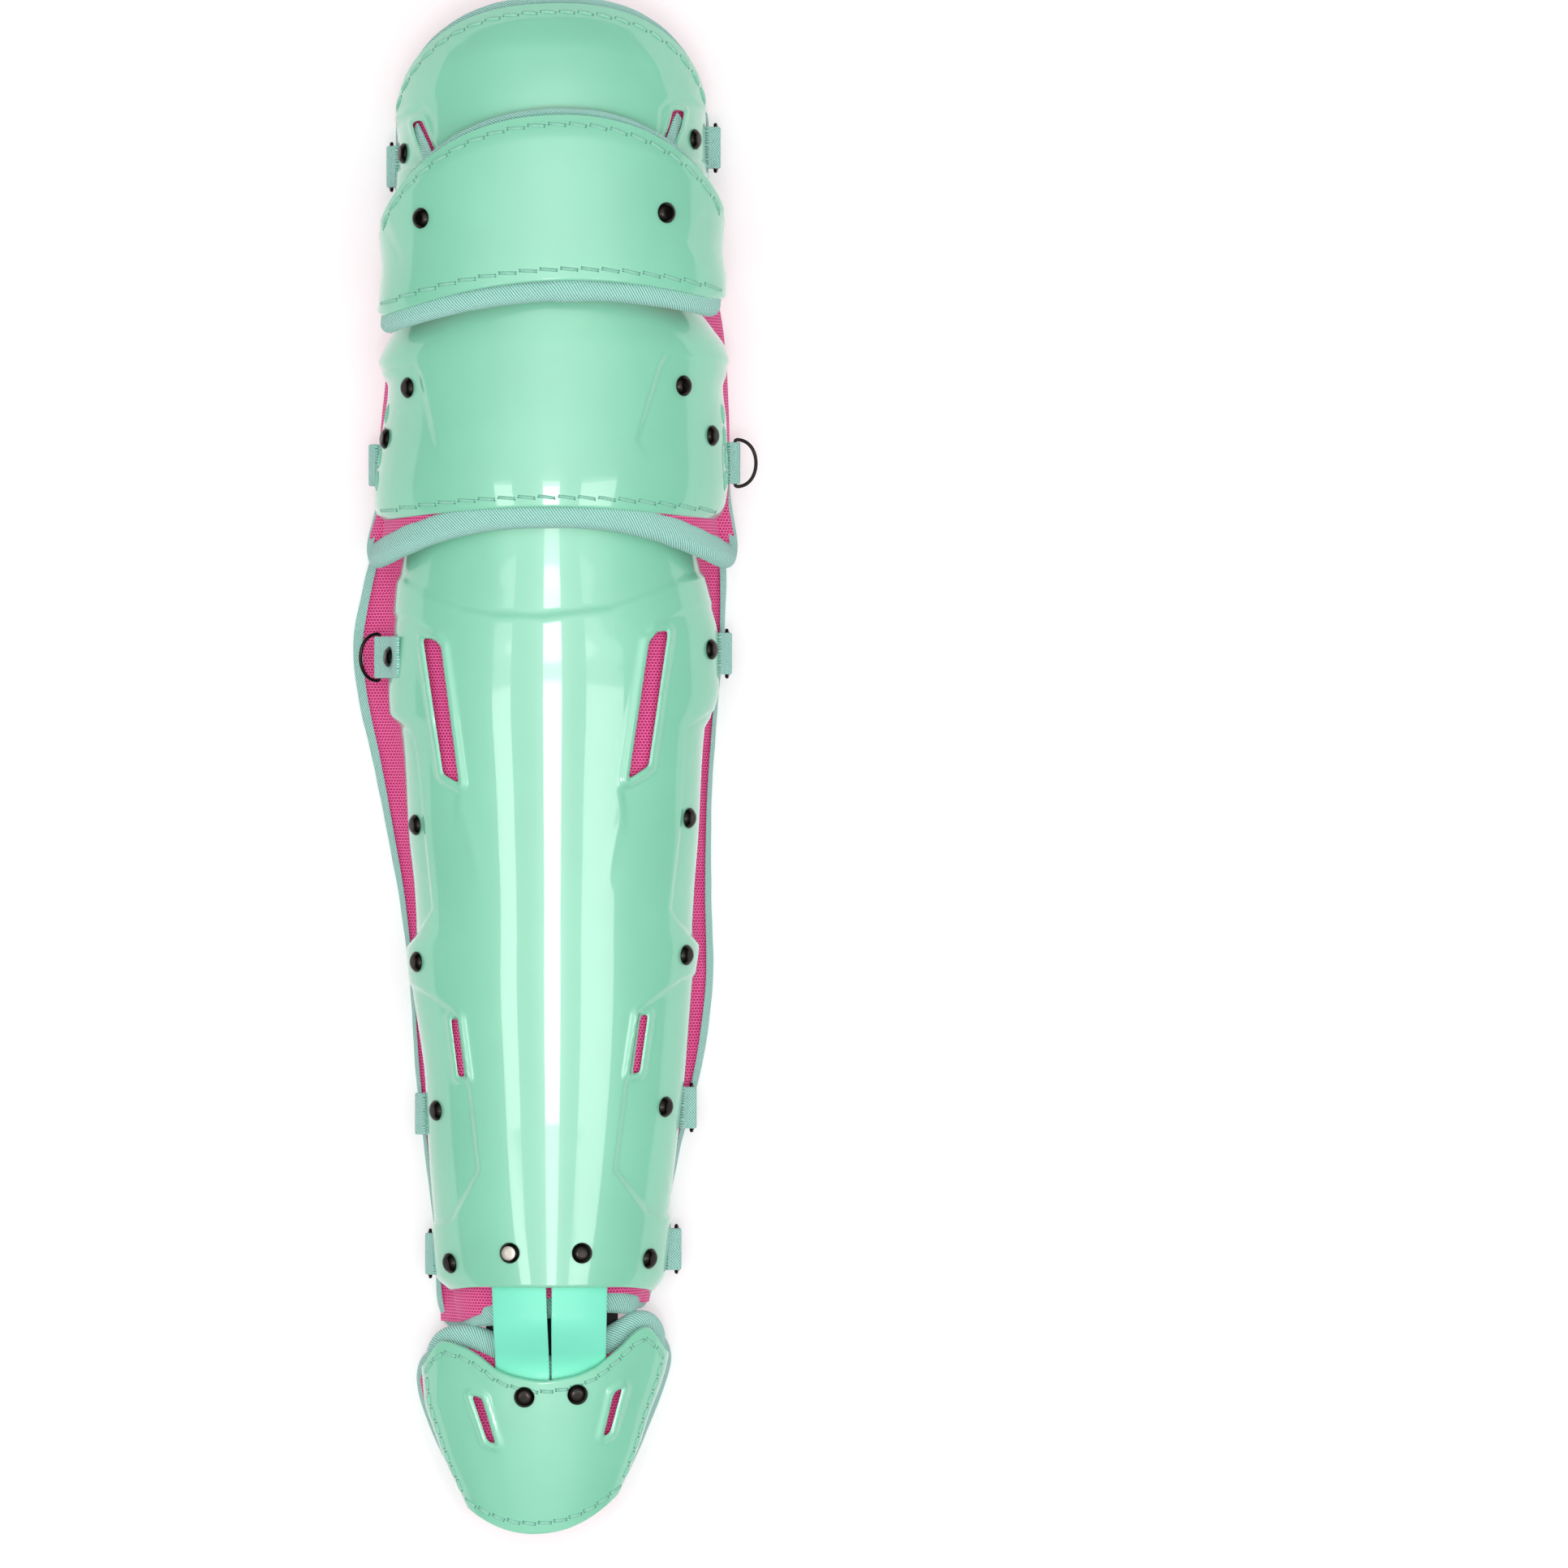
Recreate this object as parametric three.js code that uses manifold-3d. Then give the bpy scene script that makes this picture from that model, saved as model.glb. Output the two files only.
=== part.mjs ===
import * as THREE from 'three';
import { mergeVertices } from 'three/addons/utils/BufferGeometryUtils.js';
import Module from 'manifold-3d';

const wasm = await Module();
wasm.setup();

// Sizes in mm.
const shellThickness = 2.6;
const clearance = 0.35;
const archColumns = 12;
const archSpread = THREE.MathUtils.degToRad(86);
const crownHeight = 100;
const webbingWidth = 18.5;
const webbingThickness = 1.5;
const wireRadius = 0.8;
const ringLength = 21;
const ringReach = 9.5;
const rivetRadius = 4.5;
const rivetHeight = 2.1;
const rivetLift = 0.6;
const shankRadius = 1.9;
const tabThickness = 1.4;

const group = new THREE.Group();
group.name = 'catcher_leg_guard';

const looks = {
  shell: new THREE.MeshStandardMaterial({ name: 'shell', color: 0x9fe8cc, roughness: 0.15, metalness: 0 }),
  mesh: new THREE.MeshStandardMaterial({ name: 'mesh', color: 0xdd3a88, roughness: 0.9, metalness: 0 }),
  twill: new THREE.MeshStandardMaterial({ name: 'twill', color: 0x7cc3b2, roughness: 0.85, metalness: 0 }),
  tab: new THREE.MeshStandardMaterial({ name: 'tab', color: 0x93fad8, roughness: 0.35, metalness: 0 }),
  metal: new THREE.MeshStandardMaterial({ name: 'metal', color: 0x2c2f33, roughness: 0.25, metalness: 1 }),
  worn: new THREE.MeshStandardMaterial({ name: 'worn', color: 0xb9b6a8, roughness: 0.4, metalness: 1 }),
  lining: new THREE.MeshStandardMaterial({ name: 'lining', color: 0x17181a, roughness: 0.9, metalness: 0 }),
};

// Every shell: where its side edges start (low) and how long they are, its half width, how far its
// bottom and top edges rise above the corners, and how much higher its right side sits than its left.
// In the side tables, along is a share of long, left and right of half, crown and rim of crownHeight.
const shinShell = {
  low: 107.3, long: 338.4, half: 75, middle: 0, tilt: 0,
  bottomRise: 3, bottomPower: 6, topRise: 0, topPower: 2, topRoot: 1,
  sides: [
    { along: 0.0, left: 0.610, right: 0.610, crown: 0.600, rim: 0.240 },
    { along: 0.02, left: 0.690, right: 0.668, crown: 0.602, rim: 0.235 },
    { along: 0.065, left: 0.707, right: 0.692, crown: 0.607, rim: 0.235 },
    { along: 0.204, left: 0.755, right: 0.764, crown: 0.627, rim: 0.245 },
    { along: 0.274, left: 0.769, right: 0.798, crown: 0.640, rim: 0.250 },
    { along: 0.416, left: 0.851, right: 0.851, crown: 0.670, rim: 0.260 },
    { along: 0.451, left: 0.861, right: 0.870, crown: 0.678, rim: 0.260 },
    { along: 0.470, left: 0.817, right: 0.846, crown: 0.682, rim: 0.275 },
    { along: 0.521, left: 0.827, right: 0.856, crown: 0.692, rim: 0.280 },
    { along: 0.593, left: 0.861, right: 0.880, crown: 0.706, rim: 0.285 },
    { along: 0.735, left: 0.909, right: 0.918, crown: 0.729, rim: 0.290 },
    { along: 0.754, left: 0.971, right: 0.962, crown: 0.732, rim: 0.275 },
    { along: 0.791, left: 0.981, right: 1.0, crown: 0.738, rim: 0.270 },
    { along: 0.854, left: 0.952, right: 0.995, crown: 0.746, rim: 0.270 },
    { along: 0.914, left: 0.930, right: 0.930, crown: 0.752, rim: 0.275 },
    { along: 0.96, left: 0.900, right: 0.880, crown: 0.755, rim: 0.290 },
    { along: 1.0, left: 0.860, right: 0.850, crown: 0.757, rim: 0.310 },
  ],
};
const lowerShell = {
  low: shinShell.low + shinShell.long + 2.1, long: 96.8, half: shinShell.half + 4.5, middle: 0, tilt: 0,
  bottomRise: 6.2, bottomPower: 2, topRise: 0, topPower: 2, topRoot: 1,
  sides: [
    { along: 0.0, left: 0.950, right: 0.920, crown: 0.892, rim: 0.300 },
    { along: 0.04, left: 0.991, right: 0.960, crown: 0.892, rim: 0.295 },
    { along: 0.1, left: 1.0, right: 0.980, crown: 0.892, rim: 0.290 },
    { along: 0.26, left: 0.982, right: 0.991, crown: 0.890, rim: 0.290 },
    { along: 0.44, left: 0.959, right: 0.991, crown: 0.886, rim: 0.290 },
    { along: 0.62, left: 0.930, right: 0.970, crown: 0.880, rim: 0.300 },
    { along: 0.68, left: 0.966, right: 0.990, crown: 0.878, rim: 0.295 },
    { along: 0.73, left: 0.968, right: 0.993, crown: 0.875, rim: 0.300 },
    { along: 0.8, left: 0.937, right: 0.970, crown: 0.871, rim: 0.310 },
    { along: 0.88, left: 0.885, right: 0.905, crown: 0.862, rim: 0.320 },
    { along: 1.0, left: 0.800, right: 0.800, crown: 0.850, rim: 0.340 },
  ],
};
const kneeShell = {
  low: lowerShell.low + lowerShell.long - 3, long: 35.6, half: shinShell.half + 2.4, middle: 0.4, tilt: 3.4,
  bottomRise: 11.3, bottomPower: 2, topRise: 48, topPower: 2.2, topRoot: 0.65,
  sides: [
    { along: 0.0, left: 0.970, right: 0.955, crown: 1.0, rim: 0.560 },
    { along: 0.08, left: 0.995, right: 0.995, crown: 1.005, rim: 0.545 },
    { along: 0.3, left: 0.99, right: 1.0, crown: 1.02, rim: 0.520 },
    { along: 0.6, left: 0.988, right: 0.992, crown: 1.03, rim: 0.500 },
    { along: 0.85, left: 0.995, right: 0.995, crown: 1.02, rim: 0.495 },
    { along: 1.0, left: 1.0, right: 1.0, crown: 0.985, rim: 0.495 },
  ],
};
const thighShell = {
  low: kneeShell.low + kneeShell.long + 10.8, long: 39, half: shinShell.half - 5.5, middle: -0.2, tilt: 1.5,
  bottomRise: 6, bottomPower: 2, topRise: 52.2, topPower: 2.4, topRoot: 0.5,
  sides: [
    { along: 0.0, left: 0.960, right: 0.960, crown: 0.870, rim: 0.320 },
    { along: 0.25, left: 0.995, right: 0.998, crown: 0.867, rim: 0.300 },
    { along: 0.5, left: 0.992, right: 1.0, crown: 0.850, rim: 0.290 },
    { along: 0.75, left: 0.993, right: 0.998, crown: 0.800, rim: 0.285 },
    { along: 0.9, left: 1.0, right: 0.998, crown: 0.725, rim: 0.280 },
    { along: 1.0, left: 1.0, right: 0.995, crown: 0.640, rim: 0.275 },
  ],
};
// The toe cap's top edge is a table of its own: across is a share of half, rise a share of topRise.
const toeShell = {
  low: 14, long: 62, half: shinShell.half - 20, middle: -3.2, tilt: 3.2,
  bottomRise: -14, bottomPower: 2.2, topRise: 12, topPower: 2, topRoot: 1,
  topEdge: [
    { across: -1.0, rise: 0.05 },
    { across: -0.8, rise: 1.0 },
    { across: -0.54, rise: 0.77 },
    { across: -0.33, rise: 0.15 },
    { across: -0.17, rise: -0.36 },
    { across: 0.02, rise: -0.6 },
    { across: 0.2, rise: -0.52 },
    { across: 0.44, rise: -0.13 },
    { across: 0.65, rise: 0.47 },
    { across: 0.84, rise: 0.97 },
    { across: 1.0, rise: 0.0 },
  ],
  sides: [
    { along: 0.0, left: 0.627, right: 0.600, crown: 0.350, rim: 0.240 },
    { along: 0.14, left: 0.700, right: 0.670, crown: 0.380, rim: 0.235 },
    { along: 0.33, left: 0.804, right: 0.758, crown: 0.415, rim: 0.225 },
    { along: 0.56, left: 0.902, right: 0.843, crown: 0.450, rim: 0.210 },
    { along: 0.76, left: 0.974, right: 0.93, crown: 0.475, rim: 0.200 },
    { along: 0.92, left: 0.99, right: 0.985, crown: 0.490, rim: 0.195 },
    { along: 1.0, left: 1.0, right: 1.0, crown: 0.497, rim: 0.195 },
  ],
};

// The pads: the same arch inside the shell, then a wing from the arch's rim down to the foot.
// footLeft and footRight are shares of half, foot is the height of the foot as a share of crownHeight.
const shinPad = {
  low: shinShell.low - 10.1, long: shinShell.long + 9.4, half: shinShell.half, middle: 0, tilt: 4.2,
  thickCrown: 10, thickSide: 8,
  bottomRise: 4.5, bottomPower: 4, topRise: 0, topPower: 2, topRoot: 1,
  sides: [
    { along: 0.0, left: 0.575, right: 0.535, crown: 0.525, rim: 0.220, footLeft: 0.665, footRight: 0.57, foot: 0.065 },
    { along: 0.04, left: 0.585, right: 0.590, crown: 0.530, rim: 0.205, footLeft: 0.67, footRight: 0.61, foot: 0.065 },
    { along: 0.08, left: 0.635, right: 0.625, crown: 0.543, rim: 0.210, footLeft: 0.675, footRight: 0.64, foot: 0.065 },
    { along: 0.2, left: 0.680, right: 0.680, crown: 0.585, rim: 0.220, footLeft: 0.735, footRight: 0.740, foot: 0.065 },
    { along: 0.33, left: 0.730, right: 0.750, crown: 0.613, rim: 0.230, footLeft: 0.80, footRight: 0.88, foot: 0.065 },
    { along: 0.43, left: 0.765, right: 0.790, crown: 0.634, rim: 0.240, footLeft: 0.83, footRight: 0.925, foot: 0.065 },
    { along: 0.53, left: 0.770, right: 0.795, crown: 0.655, rim: 0.250, footLeft: 0.88, footRight: 0.915, foot: 0.065 },
    { along: 0.63, left: 0.810, right: 0.830, crown: 0.675, rim: 0.260, footLeft: 0.96, footRight: 0.92, foot: 0.065 },
    { along: 0.72, left: 0.850, right: 0.865, crown: 0.690, rim: 0.265, footLeft: 1.04, footRight: 0.945, foot: 0.065 },
    { along: 0.80, left: 0.880, right: 0.895, crown: 0.700, rim: 0.265, footLeft: 1.12, footRight: 0.975, foot: 0.065 },
    { along: 0.86, left: 0.885, right: 0.905, crown: 0.707, rim: 0.265, footLeft: 1.15, footRight: 1.00, foot: 0.065 },
    { along: 0.93, left: 0.870, right: 0.870, crown: 0.714, rim: 0.265, footLeft: 1.10, footRight: 1.005, foot: 0.065 },
    { along: 1.0, left: 0.800, right: 0.790, crown: 0.716, rim: 0.285, footLeft: 1.02, footRight: 0.97, foot: 0.065 },
  ],
};
const lowerPad = {
  low: lowerShell.low - 9.8, long: lowerShell.long + 19.2, half: lowerShell.half, middle: 0, tilt: 0,
  thickCrown: 7.5, thickSide: 5,
  bottomRise: 12, bottomPower: 1.8, topRise: 0, topPower: 2, topRoot: 1,
  sides: [
    { along: 0.0, left: 0.945, right: 0.940, crown: 0.849, rim: 0.280, footLeft: 1.0, footRight: 1.0, foot: 0.235 },
    { along: 0.06, left: 0.905, right: 0.890, crown: 0.849, rim: 0.275, footLeft: 0.99, footRight: 0.99, foot: 0.225 },
    { along: 0.2, left: 0.925, right: 0.915, crown: 0.849, rim: 0.270, footLeft: 0.965, footRight: 0.985, foot: 0.2 },
    { along: 0.4, left: 0.915, right: 0.930, crown: 0.848, rim: 0.270, footLeft: 0.965, footRight: 0.99, foot: 0.12 },
    { along: 0.62, left: 0.870, right: 0.905, crown: 0.840, rim: 0.270, footLeft: 0.94, footRight: 0.98, foot: 0.06 },
    { along: 0.8, left: 0.820, right: 0.840, crown: 0.824, rim: 0.290, footLeft: 0.91, footRight: 0.96, foot: 0.06 },
    { along: 1.0, left: 0.735, right: 0.735, crown: 0.805, rim: 0.310, footLeft: 0.86, footRight: 0.91, foot: 0.06 },
  ],
};
const kneePad = {
  low: kneeShell.low - 1.3, long: kneeShell.long - 0.1, half: kneeShell.half, middle: 0.4, tilt: 3.4,
  thickCrown: 7, thickSide: 4.5,
  bottomRise: 11.3, bottomPower: 2, topRise: 45.5, topPower: 2.2, topRoot: 0.65,
  sides: [
    { along: 0.0, left: 0.925, right: 0.910, crown: 0.965, rim: 0.555, footLeft: 0.925, footRight: 0.91, foot: 0.535 },
    { along: 0.08, left: 0.950, right: 0.950, crown: 0.971, rim: 0.540, footLeft: 0.95, footRight: 0.95, foot: 0.52 },
    { along: 0.3, left: 0.945, right: 0.955, crown: 0.987, rim: 0.515, footLeft: 0.945, footRight: 0.955, foot: 0.495 },
    { along: 0.6, left: 0.943, right: 0.948, crown: 0.997, rim: 0.495, footLeft: 0.943, footRight: 0.948, foot: 0.475 },
    { along: 0.85, left: 0.950, right: 0.950, crown: 0.985, rim: 0.490, footLeft: 0.95, footRight: 0.95, foot: 0.47 },
    { along: 1.0, left: 0.95, right: 0.95, crown: 0.953, rim: 0.488, footLeft: 0.95, footRight: 0.95, foot: 0.468 },
  ],
};
const thighPad = {
  low: thighShell.low - 28, long: thighShell.long + 27, half: thighShell.half, middle: -0.2, tilt: 1.5,
  thickCrown: 9, thickSide: 7,
  bottomRise: 0, bottomPower: 2, topRise: 50, topPower: 2.4, topRoot: 0.5,
  sides: [
    { along: 0.0, left: 0.860, right: 0.860, crown: 0.780, rim: 0.300, footLeft: 0.93, footRight: 0.93, foot: 0.065 },
    { along: 0.42, left: 0.910, right: 0.910, crown: 0.830, rim: 0.290, footLeft: 0.96, footRight: 0.96, foot: 0.065 },
    { along: 0.56, left: 0.945, right: 0.945, crown: 0.825, rim: 0.275, footLeft: 0.98, footRight: 0.98, foot: 0.065 },
    { along: 0.7, left: 0.943, right: 0.950, crown: 0.800, rim: 0.265, footLeft: 0.99, footRight: 0.99, foot: 0.065 },
    { along: 0.85, left: 0.943, right: 0.946, crown: 0.750, rim: 0.260, footLeft: 0.99, footRight: 0.99, foot: 0.065 },
    { along: 0.94, left: 0.946, right: 0.946, crown: 0.668, rim: 0.255, footLeft: 0.99, footRight: 0.99, foot: 0.065 },
    { along: 1.0, left: 0.946, right: 0.942, crown: 0.580, rim: 0.250, footLeft: 0.99, footRight: 0.99, foot: 0.065 },
  ],
};
const toePad = {
  low: toeShell.low + 2.5, long: toeShell.long - 6, half: toeShell.half, middle: -3.2, tilt: 3.2,
  thickCrown: 7, thickSide: 5.5,
  bottomRise: -13, bottomPower: 2.2, topRise: 12, topPower: 2, topRoot: 1,
  topEdge: toeShell.topEdge,
  sides: [
    { along: 0.0, left: 0.560, right: 0.535, crown: 0.314, rim: 0.225, footLeft: 0.6, footRight: 0.57, foot: 0.12 },
    { along: 0.14, left: 0.635, right: 0.605, crown: 0.345, rim: 0.220, footLeft: 0.68, footRight: 0.65, foot: 0.1 },
    { along: 0.33, left: 0.740, right: 0.693, crown: 0.372, rim: 0.210, footLeft: 0.79, footRight: 0.745, foot: 0.08 },
    { along: 0.56, left: 0.840, right: 0.780, crown: 0.386, rim: 0.195, footLeft: 0.9, footRight: 0.84, foot: 0.06 },
    { along: 0.76, left: 0.912, right: 0.868, crown: 0.395, rim: 0.180, footLeft: 0.97, footRight: 0.925, foot: 0.05 },
    { along: 0.92, left: 0.928, right: 0.92, crown: 0.403, rim: 0.175, footLeft: 0.99, footRight: 0.97, foot: 0.05 },
    { along: 1.0, left: 0.935, right: 0.935, crown: 0.410, rim: 0.175, footLeft: 0.99, footRight: 0.98, foot: 0.05 },
  ],
};

// A row of a table at a share between its rows.
function rowAt(table, key, share) {
  const last = table.length - 1;
  const at = THREE.MathUtils.clamp(share, table[0][key], table[last][key]);
  let i = 0;
  while (i < last - 1 && table[i + 1][key] < at) {
    i++;
  }
  const t = (at - table[i][key]) / (table[i + 1][key] - table[i][key]);
  const row = {};
  for (const name of Object.keys(table[i])) {
    row[name] = THREE.MathUtils.lerp(table[i][name], table[i + 1][name], t);
  }
  return row;
}

// Where the piece's length runs to, at a share across and a share along.
function lengthAt(piece, across, along) {
  const lean = piece.tilt * across;
  const edge = Math.min(Math.abs(across), 1);
  const bottom = piece.low + lean + piece.bottomRise * (1 - edge ** piece.bottomPower);
  let rise = Math.max(0, 1 - edge ** piece.topPower) ** piece.topRoot;
  if (piece.topEdge) {
    rise = rowAt(piece.topEdge, 'across', across).rise;
  }
  const top = piece.low + piece.long + lean + piece.topRise * rise;
  return THREE.MathUtils.lerp(bottom, top, along);
}

// The arch of a piece: u runs from -1 (left rim) to 1 (right rim), v from 0 (bottom) to 1 (top).
function archPoint(piece, u, v) {
  const row = rowAt(piece.sides, 'along', v);
  const angle = u * archSpread;
  const across = Math.sin(angle) / Math.sin(archSpread);
  const fall = (1 - Math.cos(angle)) / (1 - Math.cos(archSpread));
  const side = u < 0 ? row.left : row.right;
  return new THREE.Vector3(
    piece.middle + piece.half * side * across,
    lengthAt(piece, across, v),
    crownHeight * (row.crown - (row.crown - row.rim) * fall),
  );
}

// The outward direction of the arch.
function archNormal(piece, u, v) {
  const step = 0.01;
  const alongU = archPoint(piece, u + step, v).sub(archPoint(piece, u - step, v));
  const low = THREE.MathUtils.clamp(v - 3 * step, 0, 1);
  const high = THREE.MathUtils.clamp(v + 3 * step, 0, 1);
  const alongV = archPoint(piece, u * 0.9, high).sub(archPoint(piece, u * 0.9, low));
  return alongU.cross(alongV).normalize();
}

function shellPoint(piece, u, v, depth) {
  return archPoint(piece, u, v).addScaledVector(archNormal(piece, u, v), -depth);
}

// A pad's point: s beyond 1 or -1 runs down the wing to the foot (at 2 or -2).
function padPoint(piece, s, v, share) {
  const u = THREE.MathUtils.clamp(s, -1, 1);
  const thick = THREE.MathUtils.lerp(piece.thickSide, piece.thickCrown, Math.cos(u * archSpread));
  const top = shellPoint(piece, u, v, share * thick);
  const down = Math.abs(s) - Math.abs(u);
  if (down === 0) {
    return top;
  }
  const row = rowAt(piece.sides, 'along', v);
  const foot = new THREE.Vector3(
    piece.middle + piece.half * (s < 0 ? -row.footLeft : row.footRight) - Math.sign(s) * share * thick,
    lengthAt(piece, Math.sign(s), v),
    crownHeight * row.foot,
  );
  return top.lerp(foot, down);
}

// A closed mesh from an outer and an inner grid of points.
function sheetGeometry(columns, rows, point) {
  const positions = [];
  const faces = [];
  const columnCount = columns.length;
  const skin = columnCount * rows.length;
  for (const side of [0, 1]) {
    for (const v of rows) {
      for (const u of columns) {
        positions.push(...point(u, v, side).toArray());
      }
    }
  }
  const quad = (a, b, c, d) => faces.push(a, b, c, a, c, d);
  for (let j = 0; j < rows.length - 1; j++) {
    for (let i = 0; i < columnCount - 1; i++) {
      const a = j * columnCount + i;
      quad(a, a + 1, a + columnCount + 1, a + columnCount);
      quad(skin + a, skin + a + columnCount, skin + a + columnCount + 1, skin + a + 1);
    }
  }
  for (let i = 0; i < columnCount - 1; i++) {
    const top = (rows.length - 1) * columnCount + i;
    quad(i, skin + i, skin + i + 1, i + 1);
    quad(top, top + 1, skin + top + 1, skin + top);
  }
  for (let j = 0; j < rows.length - 1; j++) {
    const left = j * columnCount;
    const right = left + columnCount - 1;
    quad(left, left + columnCount, skin + left + columnCount, skin + left);
    quad(right, skin + right, skin + right + columnCount, right + columnCount);
  }
  const geometry = new THREE.BufferGeometry();
  geometry.setAttribute('position', new THREE.Float32BufferAttribute(positions, 3));
  geometry.setIndex(faces);
  return geometry;
}

function spread(low, high, parts) {
  return Array.from({ length: parts + 1 }, (unused, i) => low + (high - low) * i / parts);
}

function toSolid(geometry) {
  const bare = geometry.clone();
  bare.deleteAttribute('normal');
  bare.deleteAttribute('uv');
  const merged = mergeVertices(bare, 1e-4);
  return new wasm.Manifold(new wasm.Mesh({
    numProp: 3,
    vertProperties: new Float32Array(merged.attributes.position.array),
    triVerts: new Uint32Array(merged.index.array),
  }));
}

function fromSolid(solid) {
  const mesh = solid.getMesh();
  const geometry = new THREE.BufferGeometry();
  geometry.setAttribute('position', new THREE.BufferAttribute(mesh.vertProperties, 3));
  geometry.setIndex(new THREE.BufferAttribute(mesh.triVerts, 1));
  return geometry;
}

// A solid from faces that may have been listed inside out.
function orient(geometry) {
  const solid = toSolid(geometry);
  if (solid.volume() > 0) {
    return solid;
  }
  const index = geometry.getIndex().array;
  for (let k = 0; k < index.length; k += 3) {
    [index[k], index[k + 1]] = [index[k + 1], index[k]];
  }
  return toSolid(geometry);
}

function addMesh(name, geometry, look) {
  const mesh = new THREE.Mesh(fromSolid(orient(geometry)), look);
  mesh.name = name;
  group.add(mesh);
}

// The share across and along at which a piece passes through a place seen from above.
function locate(piece, x, y) {
  let u = 0;
  let v = 0.5;
  for (let turn = 0; turn < 60; turn++) {
    const here = archPoint(piece, u, v);
    const step = 0.002;
    const acrossRate = (archPoint(piece, u + step, v).x - here.x) / step;
    const alongRate = (archPoint(piece, u, v + step).y - here.y) / step || piece.long;
    u = THREE.MathUtils.clamp(u + 0.7 * (x - here.x) / acrossRate, -1, 1);
    v = THREE.MathUtils.clamp(v + 0.7 * (y - here.y) / alongRate, 0, 1);
  }
  return { u, v };
}

// Slots, seen from above: corners as shares of the piece's half width and of its side length.
const slots = {
  thigh_cap: [
    [[-0.865, 0.935], [-0.815, 0.955], [-0.790, 0.84], [-0.755, 0.72], [-0.80, 0.69], [-0.845, 0.80]],
    [[0.785, 1.06], [0.835, 1.05], [0.815, 0.92], [0.765, 0.78], [0.725, 0.80], [0.765, 0.93]],
  ],
  shin_plate: [
    [[-0.748, 0.852], [-0.704, 0.848], [-0.560, 0.668], [-0.618, 0.676]],
    [[0.625, 0.858], [0.684, 0.862], [0.560, 0.682], [0.468, 0.673]],
    [[-0.584, 0.357], [-0.558, 0.358], [-0.510, 0.280], [-0.544, 0.280]],
    [[0.53, 0.361], [0.572, 0.364], [0.524, 0.287], [0.482, 0.285]],
  ],
  toe_cap: [
    [[-0.582, 0.754], [-0.503, 0.737], [-0.392, 0.405], [-0.458, 0.428]],
    [[0.627, 0.81], [0.562, 0.770], [0.477, 0.457], [0.530, 0.486]],
  ],
};

// Rivets, seen from above: shares of the piece's half width and of its side length.
const rivets = {
  thigh_cap: [[-0.946, 0.59], [0.925, 0.745]],
  knee_cap: [[-0.735, 1.096], [0.656, 1.157]],
  lower_cap: [[-0.805, 0.61], [-0.932, 0.383], [0.747, 0.617], [0.905, 0.394]],
  shin_plate: [
    [-0.950, 0.830], [-0.812, 0.610], [-0.793, 0.431], [-0.697, 0.236], [-0.596, 0.037],
    [0.950, 0.840], [0.822, 0.619], [0.793, 0.440], [0.688, 0.241], [0.577, 0.043],
    [-0.240, 0.052], [0.183, 0.052],
  ],
  toe_cap: [[-0.157, 0.755], [0.268, 0.773]],
};

const shells = {
  thigh_cap: { piece: thighShell, rows: [0, 0.25, 0.5, 0.62, 0.75, 0.84, 0.92, 1] },
  knee_cap: { piece: kneeShell, rows: [0, 0.08, 0.3, 0.55, 0.8, 1] },
  lower_cap: { piece: lowerShell, rows: [0, 0.04, 0.1, 0.26, 0.44, 0.62, 0.68, 0.73, 0.8, 1] },
  shin_plate: { piece: shinShell, rows: shinShell.sides.map((row) => row.along) },
  toe_cap: { piece: toeShell, rows: [0, 0.14, 0.33, 0.56, 0.76, 1] },
};

function hexPrism(radius, from, to, centre, direction) {
  const prism = new THREE.CylinderGeometry(radius, radius, to - from, 6);
  prism.translate(0, (from + to) / 2, 0);
  prism.applyQuaternion(new THREE.Quaternion().setFromUnitVectors(new THREE.Vector3(0, 1, 0), direction));
  prism.translate(...centre.toArray());
  return prism;
}

function slotPrism(piece, corners) {
  const outline = corners.map(([across, along]) => new THREE.Vector2(
    piece.middle + piece.half * across,
    piece.low + piece.long * along,
  ));
  const prism = new THREE.ExtrudeGeometry(new THREE.Shape(outline), { depth: 1.3 * crownHeight, bevelEnabled: false });
  return prism;
}

for (const [name, { piece, rows }] of Object.entries(shells)) {
  const columns = spread(-1, 1, archColumns);
  const sheet = sheetGeometry(columns, rows, (u, v, side) => shellPoint(piece, u, v, side * shellThickness));
  let solid = toSolid(sheet);
  for (const corners of slots[name] || []) {
    solid = solid.subtract(toSolid(slotPrism(piece, corners)));
  }
  rivets[name].forEach(([across, along], i) => {
    const { u, v } = locate(piece, piece.middle + piece.half * across, piece.low + piece.long * along);
    const place = archPoint(piece, u, v);
    const direction = archNormal(piece, u, v);
    const hole = hexPrism(shankRadius + clearance, -shellThickness - 1, 2, place, direction);
    solid = solid.subtract(toSolid(hole));
    const lift = rivetLift;
    const profile = [
      [0, -shellThickness], [shankRadius, -shellThickness], [shankRadius, lift], [rivetRadius, lift],
      [0.75 * rivetRadius, rivetHeight + lift], [0, rivetHeight + lift],
    ].map(([radius, height]) => new THREE.Vector2(radius, height));
    const rivet = new THREE.LatheGeometry(profile, 8);
    rivet.applyQuaternion(new THREE.Quaternion().setFromUnitVectors(new THREE.Vector3(0, 1, 0), direction));
    rivet.translate(...place.toArray());
    const worn = name === 'shin_plate' && i === 10;
    addMesh(`rivet_${name}_${i + 1}`, rivet, worn ? looks.worn : looks.metal);
  });
  addMesh(name, fromSolid(solid), looks.shell);
}


// Pads: arch and wings in one grid.
const padColumns = [-2, -1.5, ...spread(-1, 1, archColumns), 1.5, 2];

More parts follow.
